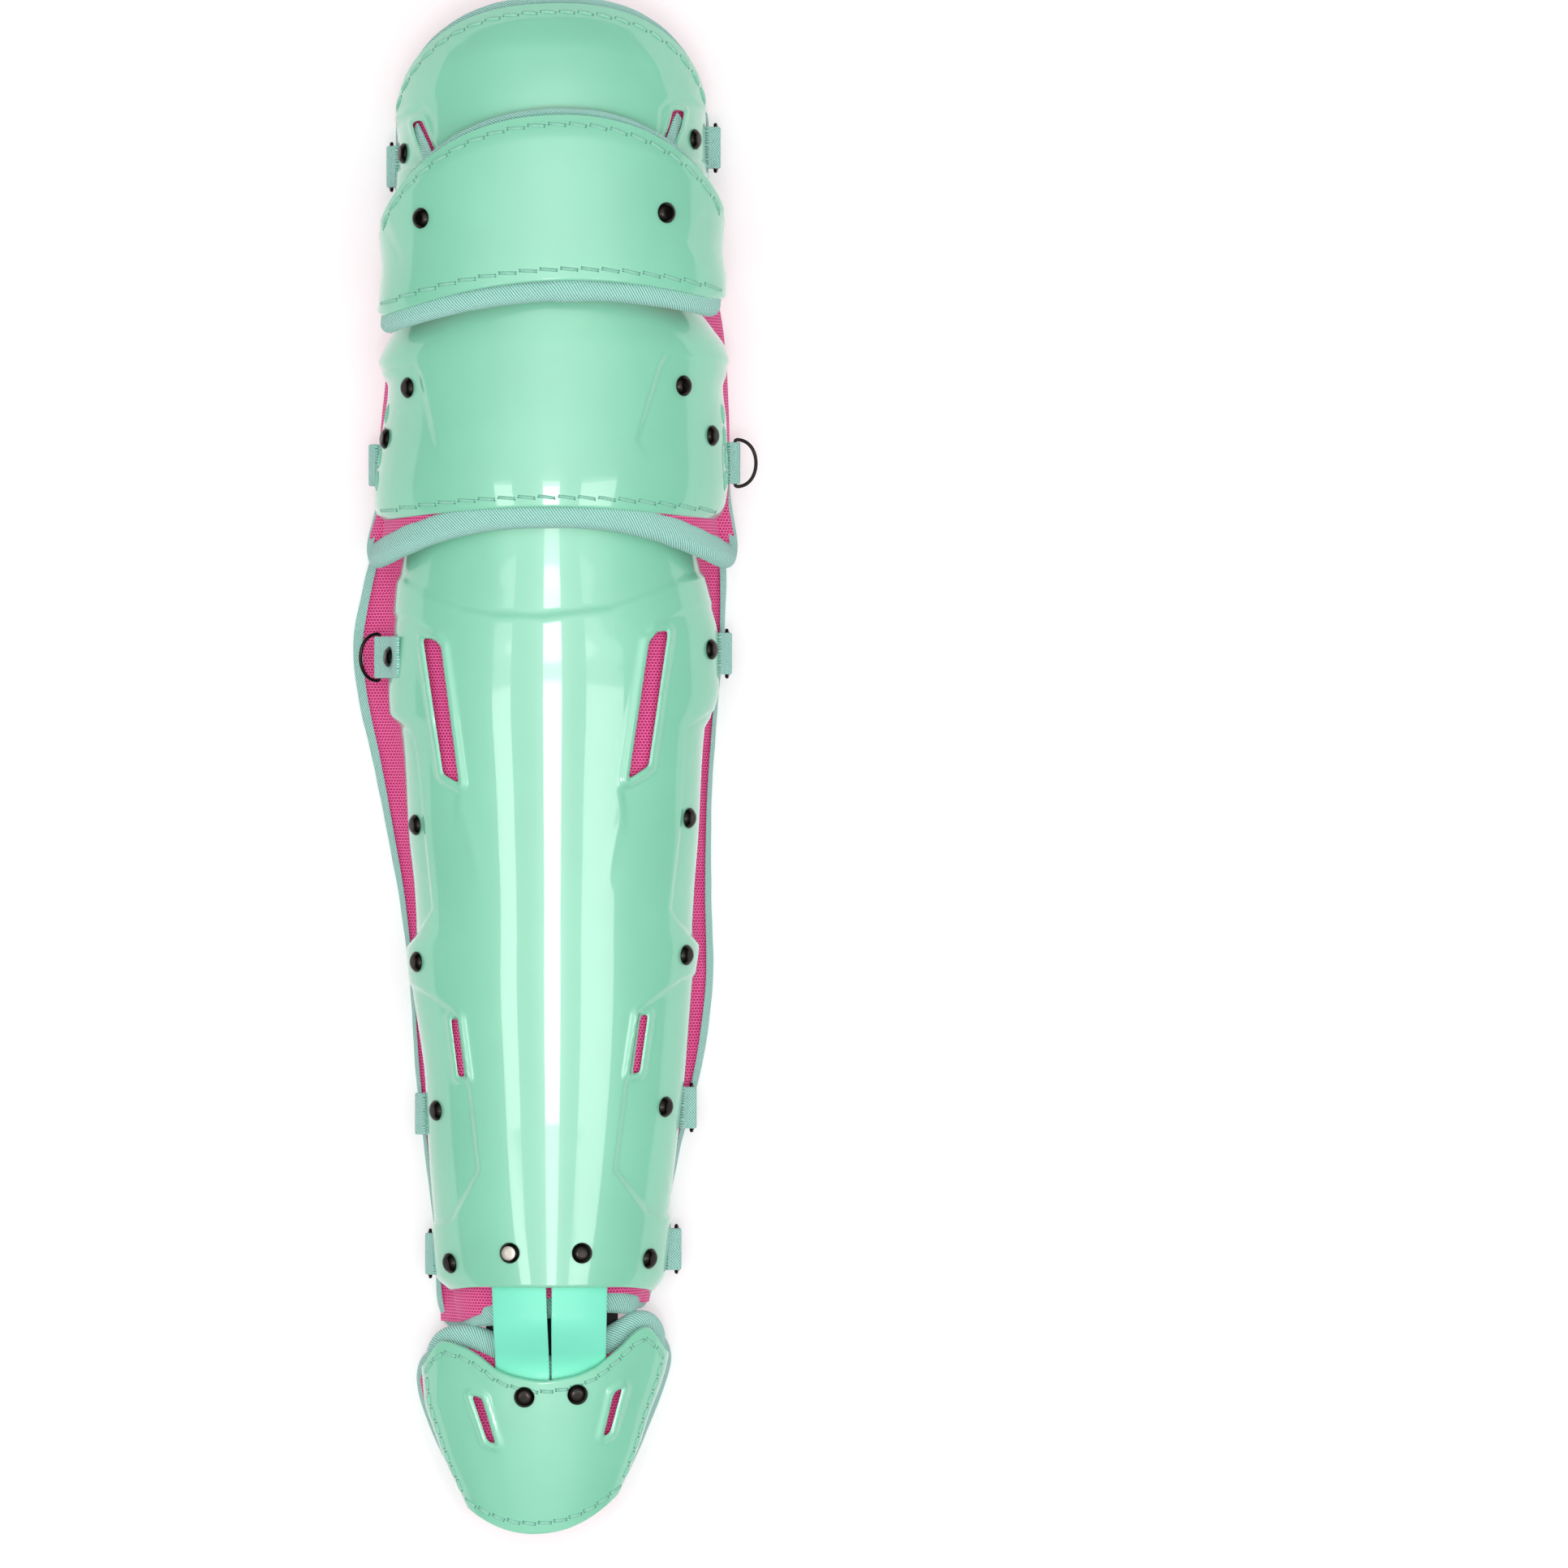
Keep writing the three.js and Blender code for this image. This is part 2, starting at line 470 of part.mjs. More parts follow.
// A closed bead round a run of pad edges, each stop given by its share across, its share along and its radius.
function beadGeometry(piece, stops, closed, grow) {
  const places = stops.map(({ s, v }) => padPoint(piece, s, v, 0.5));
  const normals = stops.map(({ s, v }) => padPoint(piece, s, v, 0).sub(padPoint(piece, s, v, 1)).normalize());
  const count = stops.length;
  const sides = 6;
  const rings = places.map((place, i) => {
    const before = closed ? (i + count - 1) % count : Math.max(i - 1, 0);
    const after = closed ? (i + 1) % count : Math.min(i + 1, count - 1);
    const tangent = places[after].clone().sub(places[before]).normalize();
    const outward = tangent.clone().cross(normals[i]).normalize();
    const { radius } = stops[i];
    const centre = place.clone().addScaledVector(outward, radius + 1.4 * clearance);
    return Array.from({ length: sides }, (unused, k) => {
      const turn = (k + 0.5) * 2 * Math.PI / sides;
      const scale = (radius + grow) / Math.cos(Math.PI / sides);
      return centre.clone()
        .addScaledVector(outward, scale * Math.cos(turn))
        .addScaledVector(normals[i], scale * Math.sin(turn));
    });
  });
  return tubeFromRings(rings, closed);
}

// A tube from rings of points; its ends are capped when it is not closed.
function tubeFromRings(rings, closed) {
  const positions = rings.flat().flatMap((point) => point.toArray());
  const sides = rings[0].length;
  const faces = [];
  const last = closed ? rings.length : rings.length - 1;
  for (let j = 0; j < last; j++) {
    const next = (j + 1) % rings.length;
    for (let k = 0; k < sides; k++) {
      const a = j * sides + k;
      const b = j * sides + (k + 1) % sides;
      const c = next * sides + (k + 1) % sides;
      const d = next * sides + k;
      faces.push(a, c, b, a, d, c);
    }
  }
  if (!closed) {
    const end = (rings.length - 1) * sides;
    for (let k = 1; k < sides - 1; k++) {
      faces.push(0, k, k + 1);
      faces.push(end, end + k + 1, end + k);
    }
  }
  const geometry = new THREE.BufferGeometry();
  geometry.setAttribute('position', new THREE.Float32BufferAttribute(positions, 3));
  geometry.setIndex(faces);
  return geometry;
}

const stopsDown = (s, radius, low, high, parts) => spread(high, low, parts).map((v) => ({ s, v, radius }));
const stopsUp = (s, radius, low, high, parts) => spread(low, high, parts).map((v) => ({ s, v, radius }));
const stopsAcross = (from, to, v, radius, parts) => spread(from, to, parts).map((s) => ({ s, v, radius }));

const footRadius = 2.9;
const pads = {
  thigh_pad: {
    piece: thighPad,
    rows: thighPad.sides.map((row) => row.along),
    binding: 'thigh_binding',
    closed: false,
    stops: [
      ...stopsUp(2, footRadius, 0, 0.96, 3),
      ...stopsAcross(1.7, 1.2, 1, 2.6, 1),
      ...stopsAcross(1, -1, 1, 2.6, 14),
      ...stopsAcross(-1.2, -1.7, 1, 2.6, 1),
      ...stopsDown(-2, footRadius, 0, 0.96, 3),
    ],
  },
  knee_pad: {
    piece: kneePad,
    rows: [0, 0.3, 0.65, 1],
    binding: 'knee_binding',
    closed: true,
    stops: [
      ...stopsDown(-2, 2, 0.15, 0.9, 1),
      ...stopsAcross(-1, 1, 0, 3.5, 12),
      ...stopsUp(2, 2, 0.15, 0.9, 1),
      ...stopsAcross(1, -1, 1, 2.6, 12),
    ],
  },
  lower_pad: {
    piece: lowerPad,
    rows: [0, 0.1, 0.25, 0.45, 0.7, 1],
    binding: 'lower_binding',
    closed: false,
    stops: [
      ...stopsDown(-1.9, 2.4, 0.04, 0.3, 2),
      ...stopsAcross(-1.5, -1.2, 0, 3.4, 1),
      ...stopsAcross(-1, 1, 0, 4.4, 14),
      ...stopsAcross(1.2, 1.5, 0, 3.4, 1),
      ...stopsUp(1.9, 2.4, 0.04, 0.3, 2),
    ],
  },
  shin_pad: {
    piece: shinPad,
    rows: shinPad.sides.map((row) => row.along),
    binding: 'shin_binding',
    closed: false,
    stops: [
      ...stopsDown(-2, footRadius, 0.03, 1, 9),
      ...stopsAcross(-1.8, -0.95, 0, 1.8, 2),
      { s: -0.72, v: 0, radius: 2.2 },
      ...stopsAcross(-0.5, 0.9, 0, 3.6, 6),
      ...stopsAcross(1.2, 1.8, 0, 1.8, 2),
      ...stopsUp(2, footRadius, 0.03, 1, 9),
    ],
  },
  toe_pad: {
    piece: toePad,
    rows: [0, 0.33, 0.66, 1],
    binding: 'toe_binding',
    closed: false,
    stops: [
      ...stopsUp(2, 2.2, 0.1, 0.9, 3),
      ...stopsAcross(1.5, 1.2, 1, 3, 1),
      ...stopsAcross(1, -1, 1, 3.8, 12),
      ...stopsAcross(-1.2, -1.5, 1, 3, 1),
      ...stopsDown(-2, 2.2, 0.1, 0.9, 3),
    ],
  },
};

for (const [name, { piece, rows, binding, closed, stops }] of Object.entries(pads)) {
  const sheet = sheetGeometry(padColumns, rows, (s, v, side) => padPoint(piece, s, v, side));
  const room = orient(beadGeometry(piece, stops, closed, 0.12));
  addMesh(name, fromSolid(orient(sheet).subtract(room)), looks.mesh);
  addMesh(binding, beadGeometry(piece, stops, closed, 0), looks.twill);
}

// The height at a depth under a piece's outer arch, over a place seen from above.
function heightUnder(piece, x, y, depth) {
  const { u, v } = locate(piece, x, y);
  return archPoint(piece, u, v).z - depth / Math.max(archNormal(piece, u, v).z, 0.4);
}

// The two flexible tabs, from under the shin plate's bottom to under the toe cap's top edge.
const tabTop = shinShell.low + 21.7;
const tabEnd = toeShell.low + 45;
const shinBottom = shinShell.low - 10.3;
const toeTop = toeShell.low + 56;
const tabs = {
  flex_tab_1: { topLeft: -26.6, topRight: -3.0, endLeft: -24.0, endRight: -0.7 },
  flex_tab_2: { topLeft: 0.8, topRight: 25.0, endLeft: 0.3, endRight: 23.4 },
};
for (const [name, tab] of Object.entries(tabs)) {
  const rows = [0, 0.14, 0.27, 0.45, 0.65, 0.84, 1];
  addMesh(name, sheetGeometry(spread(0, 1, 3), rows, (u, v, side) => {
    const y = THREE.MathUtils.lerp(tabEnd, tabTop, v);
    const left = THREE.MathUtils.lerp(tab.endLeft, tab.topLeft, v);
    const right = THREE.MathUtils.lerp(tab.endRight, tab.topRight, v);
    const x = THREE.MathUtils.lerp(left, right, u);
    const under = shellThickness + 2.9 * clearance + side * tabThickness;
    const upper = heightUnder(shinShell, x, Math.max(y, shinShell.low + 3), under);
    const lower = heightUnder(toeShell, x, Math.min(y, toeTop), under + 3.2 * clearance);
    const share = THREE.MathUtils.clamp((y - toeTop) / (shinBottom - toeTop), 0, 1);
    return new THREE.Vector3(x, y, THREE.MathUtils.lerp(lower, upper, share));
  }), looks.tab);
}

// The dark lining behind the ankle, under the shin pad's bottom edge and the toe pad's top edge.
const liningThickness = 1.2;
const liningEnd = toeShell.low + 42;
const liningToe = toeShell.low + 52;
const liningShin = shinPad.low + 6.8;
const liningMiddle = shinPad.low - 9.2;
const liningTop = shinPad.low + 14.8;
const liningStops = [liningEnd, liningToe, liningMiddle, liningShin, liningTop];
addMesh('ankle_lining', sheetGeometry(spread(-24, 22, 4), liningStops, (x, y, side) => {
  const depth = side * liningThickness;
  const upper = heightUnder(shinPad, x, Math.max(y, liningShin), shinPad.thickCrown + 0.6 + depth);
  const lower = heightUnder(toePad, x, Math.min(y, liningToe), toePad.thickCrown + 2.7 + depth);
  const share = THREE.MathUtils.clamp((y - liningToe) / (liningShin - liningToe), 0, 1);
  return new THREE.Vector3(x, y, THREE.MathUtils.lerp(lower, upper, share));
}), looks.lining);

// The link straps come up through the thigh cap's slots and run over it to under the knee cap.
const links = {
  link_strap_1: { x: 11.9 - thighShell.half, y: thighShell.low + 29.5, reach: 17, drop: -9 },
  link_strap_2: { x: thighShell.half - 15.7, y: thighShell.low + 33.5, reach: -17, drop: -8 },
};
for (const [name, link] of Object.entries(links)) {
  addMesh(name, sheetGeometry([-4.5, 0, 4.5], [0, 0.12, 0.3, 0.6, 1], (w, v, side) => {
    const x = link.x + link.reach * v - 0.35 * Math.sign(link.reach) * w;
    const y = link.y + link.drop * v + w;
    const lift = 0.8 + webbingThickness;
    const { u, v: along } = locate(thighShell, x, y);
    return shellPoint(thighShell, u, along, side * webbingThickness - lift);
  }), looks.twill);
}

// Webbing loops at the rims: side, the height of the middle on the piece, the way the webbing points
// (degrees down from straight out), its length, and the way its ring points where it has one.
const loops = [
  { piece: thighShell, side: -1, along: 0.5, slope: 62, length: 9, ring: 84 },
  { piece: thighShell, side: 1, along: 0.64, slope: 50, length: 9, ring: 84 },
  { piece: lowerShell, side: -1, along: 0.265, slope: 68, length: 8 },
  { piece: lowerShell, side: 1, along: 0.275, slope: 52, length: 8, ring: 10 },
  { piece: shinShell, side: -1, along: 0.83, slope: 32, length: 9, ring: 25 },
  { piece: shinShell, side: 1, along: 0.835, slope: 55, length: 9, ring: 84 },
  { piece: shinShell, side: -1, along: 0.231, slope: 62, length: 8 },
  { piece: shinShell, side: 1, along: 0.239, slope: 50, length: 9, ring: 84 },
  { piece: shinShell, side: -1, along: 0.047, slope: 62, length: 8, ring: 84 },
  { piece: shinShell, side: 1, along: 0.053, slope: 45, length: 9, ring: 84 },
];
const eyeRadius = wireRadius + clearance;
const loopRadius = eyeRadius + webbingThickness;

loops.forEach((loop, i) => {
  const rim = archPoint(loop.piece, loop.side, loop.along);
  const slope = THREE.MathUtils.degToRad(loop.slope);
  const out = new THREE.Vector3(loop.side * Math.cos(slope), 0, -Math.sin(slope));
  const up = new THREE.Vector3(loop.side * Math.sin(slope), 0, Math.cos(slope));
  const drop = webbingThickness * Math.cos(slope) + clearance;
  const start = rim.clone().add(new THREE.Vector3(-loop.side * 0.9, 0, -drop));
  const shape = new THREE.Shape();
  shape.moveTo(0, -webbingThickness);
  shape.lineTo(loop.length - 2 * loopRadius, -webbingThickness);
  for (let k = 0; k <= 6; k++) {
    const turn = THREE.MathUtils.degToRad(-75 + 25 * k);
    shape.lineTo(loop.length - loopRadius + loopRadius * Math.cos(turn), loopRadius * Math.sin(turn));
  }
  shape.lineTo(loop.length - 2 * loopRadius, webbingThickness);
  shape.lineTo(0, webbingThickness);
  shape.closePath();
  const eye = new THREE.Path();
  for (let k = 0; k < 8; k++) {
    const turn = k * Math.PI / 4;
    const radius = eyeRadius / Math.cos(Math.PI / 8);
    const method = k === 0 ? 'moveTo' : 'lineTo';
    eye[method](loop.length - loopRadius + radius * Math.cos(turn), radius * Math.sin(turn));
  }
  shape.holes.push(eye);
  const geometry = new THREE.ExtrudeGeometry(shape, { depth: webbingWidth, bevelEnabled: false });
  geometry.translate(0, 0, -webbingWidth / 2);
  const along = out.clone().cross(up);
  geometry.applyMatrix4(new THREE.Matrix4().makeBasis(out, up, along));
  geometry.translate(...start.toArray());
  const number = i + 1;
  addMesh(`loop_${number}`, geometry, looks.twill);
  if (loop.ring === undefined) {
    return;
  }
  const bar = start.clone().addScaledVector(out, loop.length - loopRadius);
  const ringTurn = THREE.MathUtils.degToRad(loop.ring);
  const ringOut = new THREE.Vector3(loop.side * Math.cos(ringTurn), 0, -Math.sin(ringTurn));
  const ringUp = new THREE.Vector3(loop.side * Math.sin(ringTurn), 0, Math.cos(ringTurn));
  const path = [];
  for (let k = 0; k <= 9; k++) {
    const turn = Math.PI * k / 9;
    const reach = ringReach * Math.sin(turn) ** 0.8;
    path.push({ y: ringLength / 2 * Math.cos(turn), reach });
  }
  const rings = path.map(({ y, reach }, k) => {
    const before = path[(k + path.length - 1) % path.length];
    const after = path[(k + 1) % path.length];
    const tangent = new THREE.Vector2(after.y - before.y, after.reach - before.reach).normalize();
    const centre = bar.clone().addScaledVector(ringOut, reach);
    centre.y += y;
    return Array.from({ length: 5 }, (unused, m) => {
      const turn = m * Math.PI / 2.5;
      const sideways = wireRadius * Math.cos(turn);
      return centre.clone()
        .add(new THREE.Vector3(0, tangent.y * sideways, 0))
        .addScaledVector(ringOut, -tangent.x * sideways)
        .addScaledVector(ringUp, wireRadius * Math.sin(turn));
    });
  });
  addMesh(`ring_${number}`, tubeFromRings(rings, true), looks.metal);
});

const box = new THREE.Box3().setFromObject(group);
const centre = box.getCenter(new THREE.Vector3());
for (const mesh of group.children) {
  mesh.geometry.translate(-centre.x, -centre.y, -box.min.z);
}

export default group;
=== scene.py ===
import math

import bpy
import numpy as np
from mathutils import Matrix, Vector


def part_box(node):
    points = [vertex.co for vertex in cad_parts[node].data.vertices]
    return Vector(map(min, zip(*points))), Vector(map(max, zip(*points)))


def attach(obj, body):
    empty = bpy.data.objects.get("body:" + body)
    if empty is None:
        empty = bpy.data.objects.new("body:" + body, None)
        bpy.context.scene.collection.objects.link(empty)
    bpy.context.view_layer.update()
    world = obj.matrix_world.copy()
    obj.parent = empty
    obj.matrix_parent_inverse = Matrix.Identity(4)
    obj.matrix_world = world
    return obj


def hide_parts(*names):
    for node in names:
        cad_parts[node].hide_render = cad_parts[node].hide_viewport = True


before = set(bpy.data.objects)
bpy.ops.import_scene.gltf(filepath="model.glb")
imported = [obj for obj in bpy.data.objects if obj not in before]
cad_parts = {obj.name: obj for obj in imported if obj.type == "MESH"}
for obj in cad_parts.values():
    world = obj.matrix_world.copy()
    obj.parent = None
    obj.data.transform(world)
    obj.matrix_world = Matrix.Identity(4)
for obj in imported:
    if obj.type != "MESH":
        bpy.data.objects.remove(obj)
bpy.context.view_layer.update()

# Sizes in mm, the same ones as the solids'.
shellThickness = 2.6
clearance = 0.35
archSpread = math.radians(86)
crownHeight = 100
webbingWidth = 18.5
webbingThickness = 1.5
wireRadius = 0.8
ringLength = 21
ringReach = 9.5
rivetRadius = 4.5
tabThickness = 1.4

# The reference: mm for each pixel, the pixels of the guard's middle and lowest edge, and the side's pixels.
pixelSize = 0.36
middlePixel = 680
lowestPixel = 1888
imageSide = 1932

# Each piece's table of sides: along is a share of long, left, right and the feet are shares of half, and
# crown, rim and foot of crownHeight. A shell has the first five columns.
sideColumns = ("along", "left", "right", "crown", "rim", "footLeft", "footRight", "foot")
plainArch = {"middle": 0, "tilt": 0, "bottomPower": 2, "topRise": 0, "topPower": 2, "topRoot": 1}
footRadius = 2.9  # of the binding along the floor
shinShell = {
    **plainArch, "low": 107.3, "long": 338.4, "half": 75, "bottomRise": 3, "bottomPower": 6,
    "sides": (
        (0.0, 0.61, 0.61, 0.63, 0.24),
        (0.02, 0.69, 0.668, 0.63, 0.235),
        (0.065, 0.707, 0.692, 0.63, 0.235),
        (0.204, 0.755, 0.764, 0.633, 0.245),
        (0.274, 0.769, 0.798, 0.639, 0.25),
        (0.416, 0.851, 0.851, 0.67, 0.26),
        (0.451, 0.861, 0.87, 0.678, 0.26),
        (0.47, 0.817, 0.846, 0.682, 0.263),
        (0.521, 0.827, 0.856, 0.69, 0.271),
        (0.593, 0.861, 0.88, 0.702, 0.281),
        (0.735, 0.909, 0.918, 0.725, 0.284),
        (0.754, 0.971, 0.962, 0.728, 0.2815),
        (0.791, 0.981, 1.0, 0.734, 0.275),
        (0.825, 0.965, 0.997, 0.739, 0.27),
        (0.854, 0.952, 0.995, 0.744, 0.27),
        (0.914, 0.93, 0.93, 0.754, 0.275),
        (0.96, 0.9, 0.88, 0.762, 0.29),
        (1.0, 0.86, 0.85, 0.768, 0.31),
    ),
}
lowerShell = {
    **plainArch, "low": 447.8, "long": 96.8, "half": 79.5, "bottomRise": 6.2,
    "sides": (
        (0.0, 0.95, 0.92, 0.892, 0.3),
        (0.04, 0.991, 0.96, 0.892, 0.295),
        (0.1, 1.0, 0.98, 0.892, 0.29),
        (0.26, 0.982, 0.991, 0.89, 0.29),
        (0.44, 0.959, 0.991, 0.886, 0.29),
        (0.62, 0.93, 0.97, 0.88, 0.3),
        (0.68, 0.966, 0.99, 0.878, 0.295),
        (0.73, 0.968, 0.993, 0.875, 0.3),
        (0.8, 0.937, 0.97, 0.871, 0.31),
        (0.88, 0.885, 0.905, 0.862, 0.32),
        (1.0, 0.8, 0.8, 0.85, 0.34),
    ),
}
kneeShell = {
    **plainArch, "low": 541.6, "long": 35.6, "half": 77.4, "middle": 0.4, "tilt": 3.4, "bottomRise": 11.3,
    "topRise": 48, "topPower": 2.2, "topRoot": 0.65,
    "sides": (
        (0.0, 0.97, 0.955, 1.028, 0.56),
        (0.08, 0.995, 0.995, 1.029, 0.545),
        (0.3, 0.99, 1.0, 1.03, 0.52),
        (0.6, 0.988, 0.992, 1.03, 0.5),
        (0.85, 0.995, 0.995, 1.02, 0.495),
        (1.0, 1.0, 1.0, 0.985, 0.495),
    ),
}
thighShell = {
    **plainArch, "low": 588, "long": 39, "half": 69.5, "middle": -0.2, "tilt": 1.5, "bottomRise": 6,
    "topRise": 49.3, "topPower": 2.4, "topRoot": 0.5,
    "sides": (
        (0.0, 0.96, 0.96, 0.87, 0.32),
        (0.25, 0.995, 0.998, 0.867, 0.3),
        (0.5, 0.992, 1.0, 0.85, 0.29),
        (0.75, 0.993, 0.998, 0.8, 0.285),
        (0.9, 1.0, 0.998, 0.725, 0.28),
        (1.0, 1.0, 0.995, 0.64, 0.275),
    ),
}
toeShell = {
    **plainArch, "low": 14, "long": 62, "half": 55, "middle": -3.2, "tilt": 3.2, "bottomRise": -14,
    "bottomPower": 2.2, "topRise": 12,
    "topEdge": (  # across as a share of half, and its rise as a share of topRise
        (-1.0, 0.0), (-0.835, 0.91), (-0.67, 0.69), (-0.53, 0.32), (-0.38, -0.24), (-0.22, -0.54),
        (0.0, -0.73), (0.23, -0.64), (0.42, -0.35), (0.6, 0.26), (0.826, 0.99), (1.0, 0.0),
    ),
    "sides": (
        (0.0, 0.627, 0.6, 0.35, 0.24),
        (0.14, 0.7, 0.67, 0.38, 0.235),
        (0.33, 0.804, 0.758, 0.415, 0.225),
        (0.56, 0.902, 0.843, 0.45, 0.21),
        (0.76, 0.974, 0.93, 0.475, 0.2),
        (0.92, 0.99, 0.985, 0.49, 0.195),
        (1.0, 1.0, 1.0, 0.497, 0.195),
    ),
}
shinPad = {
    **plainArch, "low": 97.2, "long": 347.8, "half": 75, "tilt": 4.2, "thickCrown": 10, "thickSide": 8,
    "bottomRise": 4.5, "bottomPower": 4, "rollBottom": 3.6, "rollFoot": footRadius, "skirt": 4.2,
    "sides": (
        (0.0, 0.575, 0.535, 0.525, 0.22, 0.665, 0.57, 0.065),
        (0.04, 0.585, 0.59, 0.53, 0.205, 0.67, 0.61, 0.065),
        (0.08, 0.635, 0.625, 0.543, 0.21, 0.675, 0.64, 0.065),
        (0.2, 0.68, 0.68, 0.585, 0.22, 0.735, 0.74, 0.065),
        (0.33, 0.73, 0.75, 0.613, 0.23, 0.8, 0.88, 0.065),
        (0.43, 0.765, 0.79, 0.634, 0.24, 0.83, 0.925, 0.065),
        (0.53, 0.77, 0.795, 0.655, 0.25, 0.88, 0.915, 0.065),
        (0.63, 0.81, 0.83, 0.675, 0.26, 0.96, 0.92, 0.065),
        (0.72, 0.85, 0.865, 0.69, 0.265, 1.04, 0.945, 0.065),
        (0.8, 0.88, 0.895, 0.7, 0.265, 1.12, 0.975, 0.065),
        (0.86, 0.885, 0.905, 0.707, 0.265, 1.15, 1.0, 0.065),
        (0.93, 0.87, 0.87, 0.714, 0.265, 1.1, 1.005, 0.065),
        (1.0, 0.8, 0.79, 0.716, 0.285, 1.02, 0.97, 0.065),
    ),
}
lowerPad = {
    **plainArch, "low": 435.6, "long": 118.4, "half": 79.5, "thickCrown": 7.5, "thickSide": 5,
    "bottomRise": 16.6, "bottomPower": 2.5, "rollBottom": 4.4,
    "sides": (
        (0.0, 0.985, 0.98, 0.849, 0.28, 1.03, 1.03, 0.235),
        (0.06, 0.945, 0.93, 0.849, 0.275, 1.015, 1.015, 0.225),
        (0.2, 0.925, 0.915, 0.849, 0.27, 0.965, 0.985, 0.2),
        (0.4, 0.915, 0.93, 0.848, 0.27, 0.965, 0.99, 0.12),
        (0.62, 0.87, 0.905, 0.84, 0.27, 0.94, 0.98, 0.06),
        (0.8, 0.82, 0.84, 0.824, 0.29, 0.91, 0.96, 0.06),
        (1.0, 0.735, 0.735, 0.805, 0.31, 0.86, 0.91, 0.06),
    ),
}
kneePad = {
    **plainArch, "low": 540.3, "long": 35.5, "half": 77.4, "middle": 0.4, "tilt": 3.4, "thickCrown": 7,
    "thickSide": 4.5, "bottomRise": 9.4, "topRise": 49.4, "topPower": 2.2, "topRoot": 0.65,
    "rollBottom": 3.5, "rollTop": 2.8,
    "sides": (
        (0.0, 0.965, 0.955, 0.992, 0.555, 0.965, 0.955, 0.535),
        (0.08, 0.965, 0.965, 0.993, 0.54, 0.965, 0.965, 0.52),
        (0.3, 0.945, 0.955, 0.995, 0.515, 0.945, 0.955, 0.495),
        (0.6, 0.943, 0.948, 0.997, 0.495, 0.943, 0.948, 0.475),
        (0.85, 0.95, 0.95, 0.985, 0.49, 0.95, 0.95, 0.47),
        (1.0, 0.97, 0.97, 0.956, 0.488, 0.97, 0.97, 0.468),
    ),
}
thighPad = {
    **plainArch, "low": 560, "long": 66, "half": 69.5, "middle": -0.2, "tilt": 1.5, "thickCrown": 9,
    "thickSide": 7, "bottomRise": 0, "topRise": 53.4, "topPower": 2.4, "topRoot": 0.5,
    "rollTop": 2.8, "rollFoot": footRadius, "skirt": 2,
    "sides": (
        (0.0, 0.86, 0.86, 0.78, 0.3, 0.93, 0.93, 0.065),
        (0.42, 0.91, 0.91, 0.83, 0.29, 0.96, 0.96, 0.065),
        (0.56, 0.945, 0.945, 0.825, 0.275, 0.98, 0.98, 0.065),
        (0.7, 0.943, 0.95, 0.8, 0.265, 0.99, 0.99, 0.065),
        (0.85, 0.943, 0.946, 0.75, 0.26, 0.99, 0.99, 0.065),
        (0.94, 0.962, 0.962, 0.668, 0.255, 0.99, 0.99, 0.065),
        (1.0, 0.985, 0.982, 0.59, 0.25, 0.99, 0.99, 0.065),
    ),
}
toePad = {
    **plainArch, "low": 16.5, "long": 56, "half": 55, "middle": -3.2, "tilt": 3.2, "thickCrown": 7,
    "thickSide": 5.5, "bottomRise": -13, "bottomPower": 2.2, "topRise": 12, "rollTop": 3.8, "rollFoot": 2.7,
    "topEdge": (
        (-1.0, 0.45), (-0.92, 1.07), (-0.855, 1.25), (-0.716, 1.27), (-0.456, 0.91), (-0.2, 0.15),
        (0.0, -0.1), (0.25, 0.0), (0.53, 0.65), (0.706, 1.1), (0.868, 1.39), (0.96, 1.14), (1.0, 0.5),
    ),
    "sides": (
        (0.0, 0.56, 0.535, 0.314, 0.225, 0.61, 0.58, 0.12),
        (0.14, 0.635, 0.605, 0.345, 0.22, 0.692, 0.665, 0.1),
        (0.33, 0.74, 0.693, 0.372, 0.21, 0.808, 0.763, 0.08),
        (0.56, 0.84, 0.78, 0.386, 0.195, 0.922, 0.865, 0.062),
        (0.76, 0.912, 0.868, 0.395, 0.18, 1.0, 0.952, 0.056),
        (0.92, 0.928, 0.92, 0.403, 0.175, 1.027, 1.002, 0.056),
        (1.0, 0.935, 0.935, 0.41, 0.175, 1.02, 1.005, 0.056),
    ),
}

# Where the frame's origin lies, from three faces of the shin plate.
shinLow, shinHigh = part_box("shin_plate")
frameShift = np.array((
    shinHigh.x * 1000 - shinShell["half"],
    shinLow.y * 1000 - shinShell["low"],
    shinHigh.z * 1000 - 0.757 * crownHeight,
))


def easing(t):
    t = np.clip(t, 0, 1)
    return t * t * (3 - 2 * t)


# A smooth curve through a table's rows that never overshoots them.
def smoothThrough(stops, values, at):
    stops, values = np.asarray(stops, float), np.asarray(values, float)
    gaps = np.diff(stops)
    slopes = np.diff(values) / gaps
    tangents = np.concatenate((slopes[:1], 0 * slopes[1:], slopes[-1:]))
    same = slopes[:-1] * slopes[1:] > 0
    total = np.where(same, slopes[:-1] + slopes[1:], 1)
    tangents[1:-1] = np.where(same, 2 * slopes[:-1] * slopes[1:] / total, 0)
    at = np.clip(at, stops[0], stops[-1])
    k = np.clip(np.searchsorted(stops, at, side="right") - 1, 0, len(gaps) - 1)
    t = (at - stops[k]) / gaps[k]
    start, end = values[k], values[k + 1]
    pull, push = tangents[k] * gaps[k], tangents[k + 1] * gaps[k]
    return (start * (1 + 2 * t) * (1 - t) ** 2 + pull * t * (1 - t) ** 2
            + end * t * t * (3 - 2 * t) + push * t * t * (t - 1))


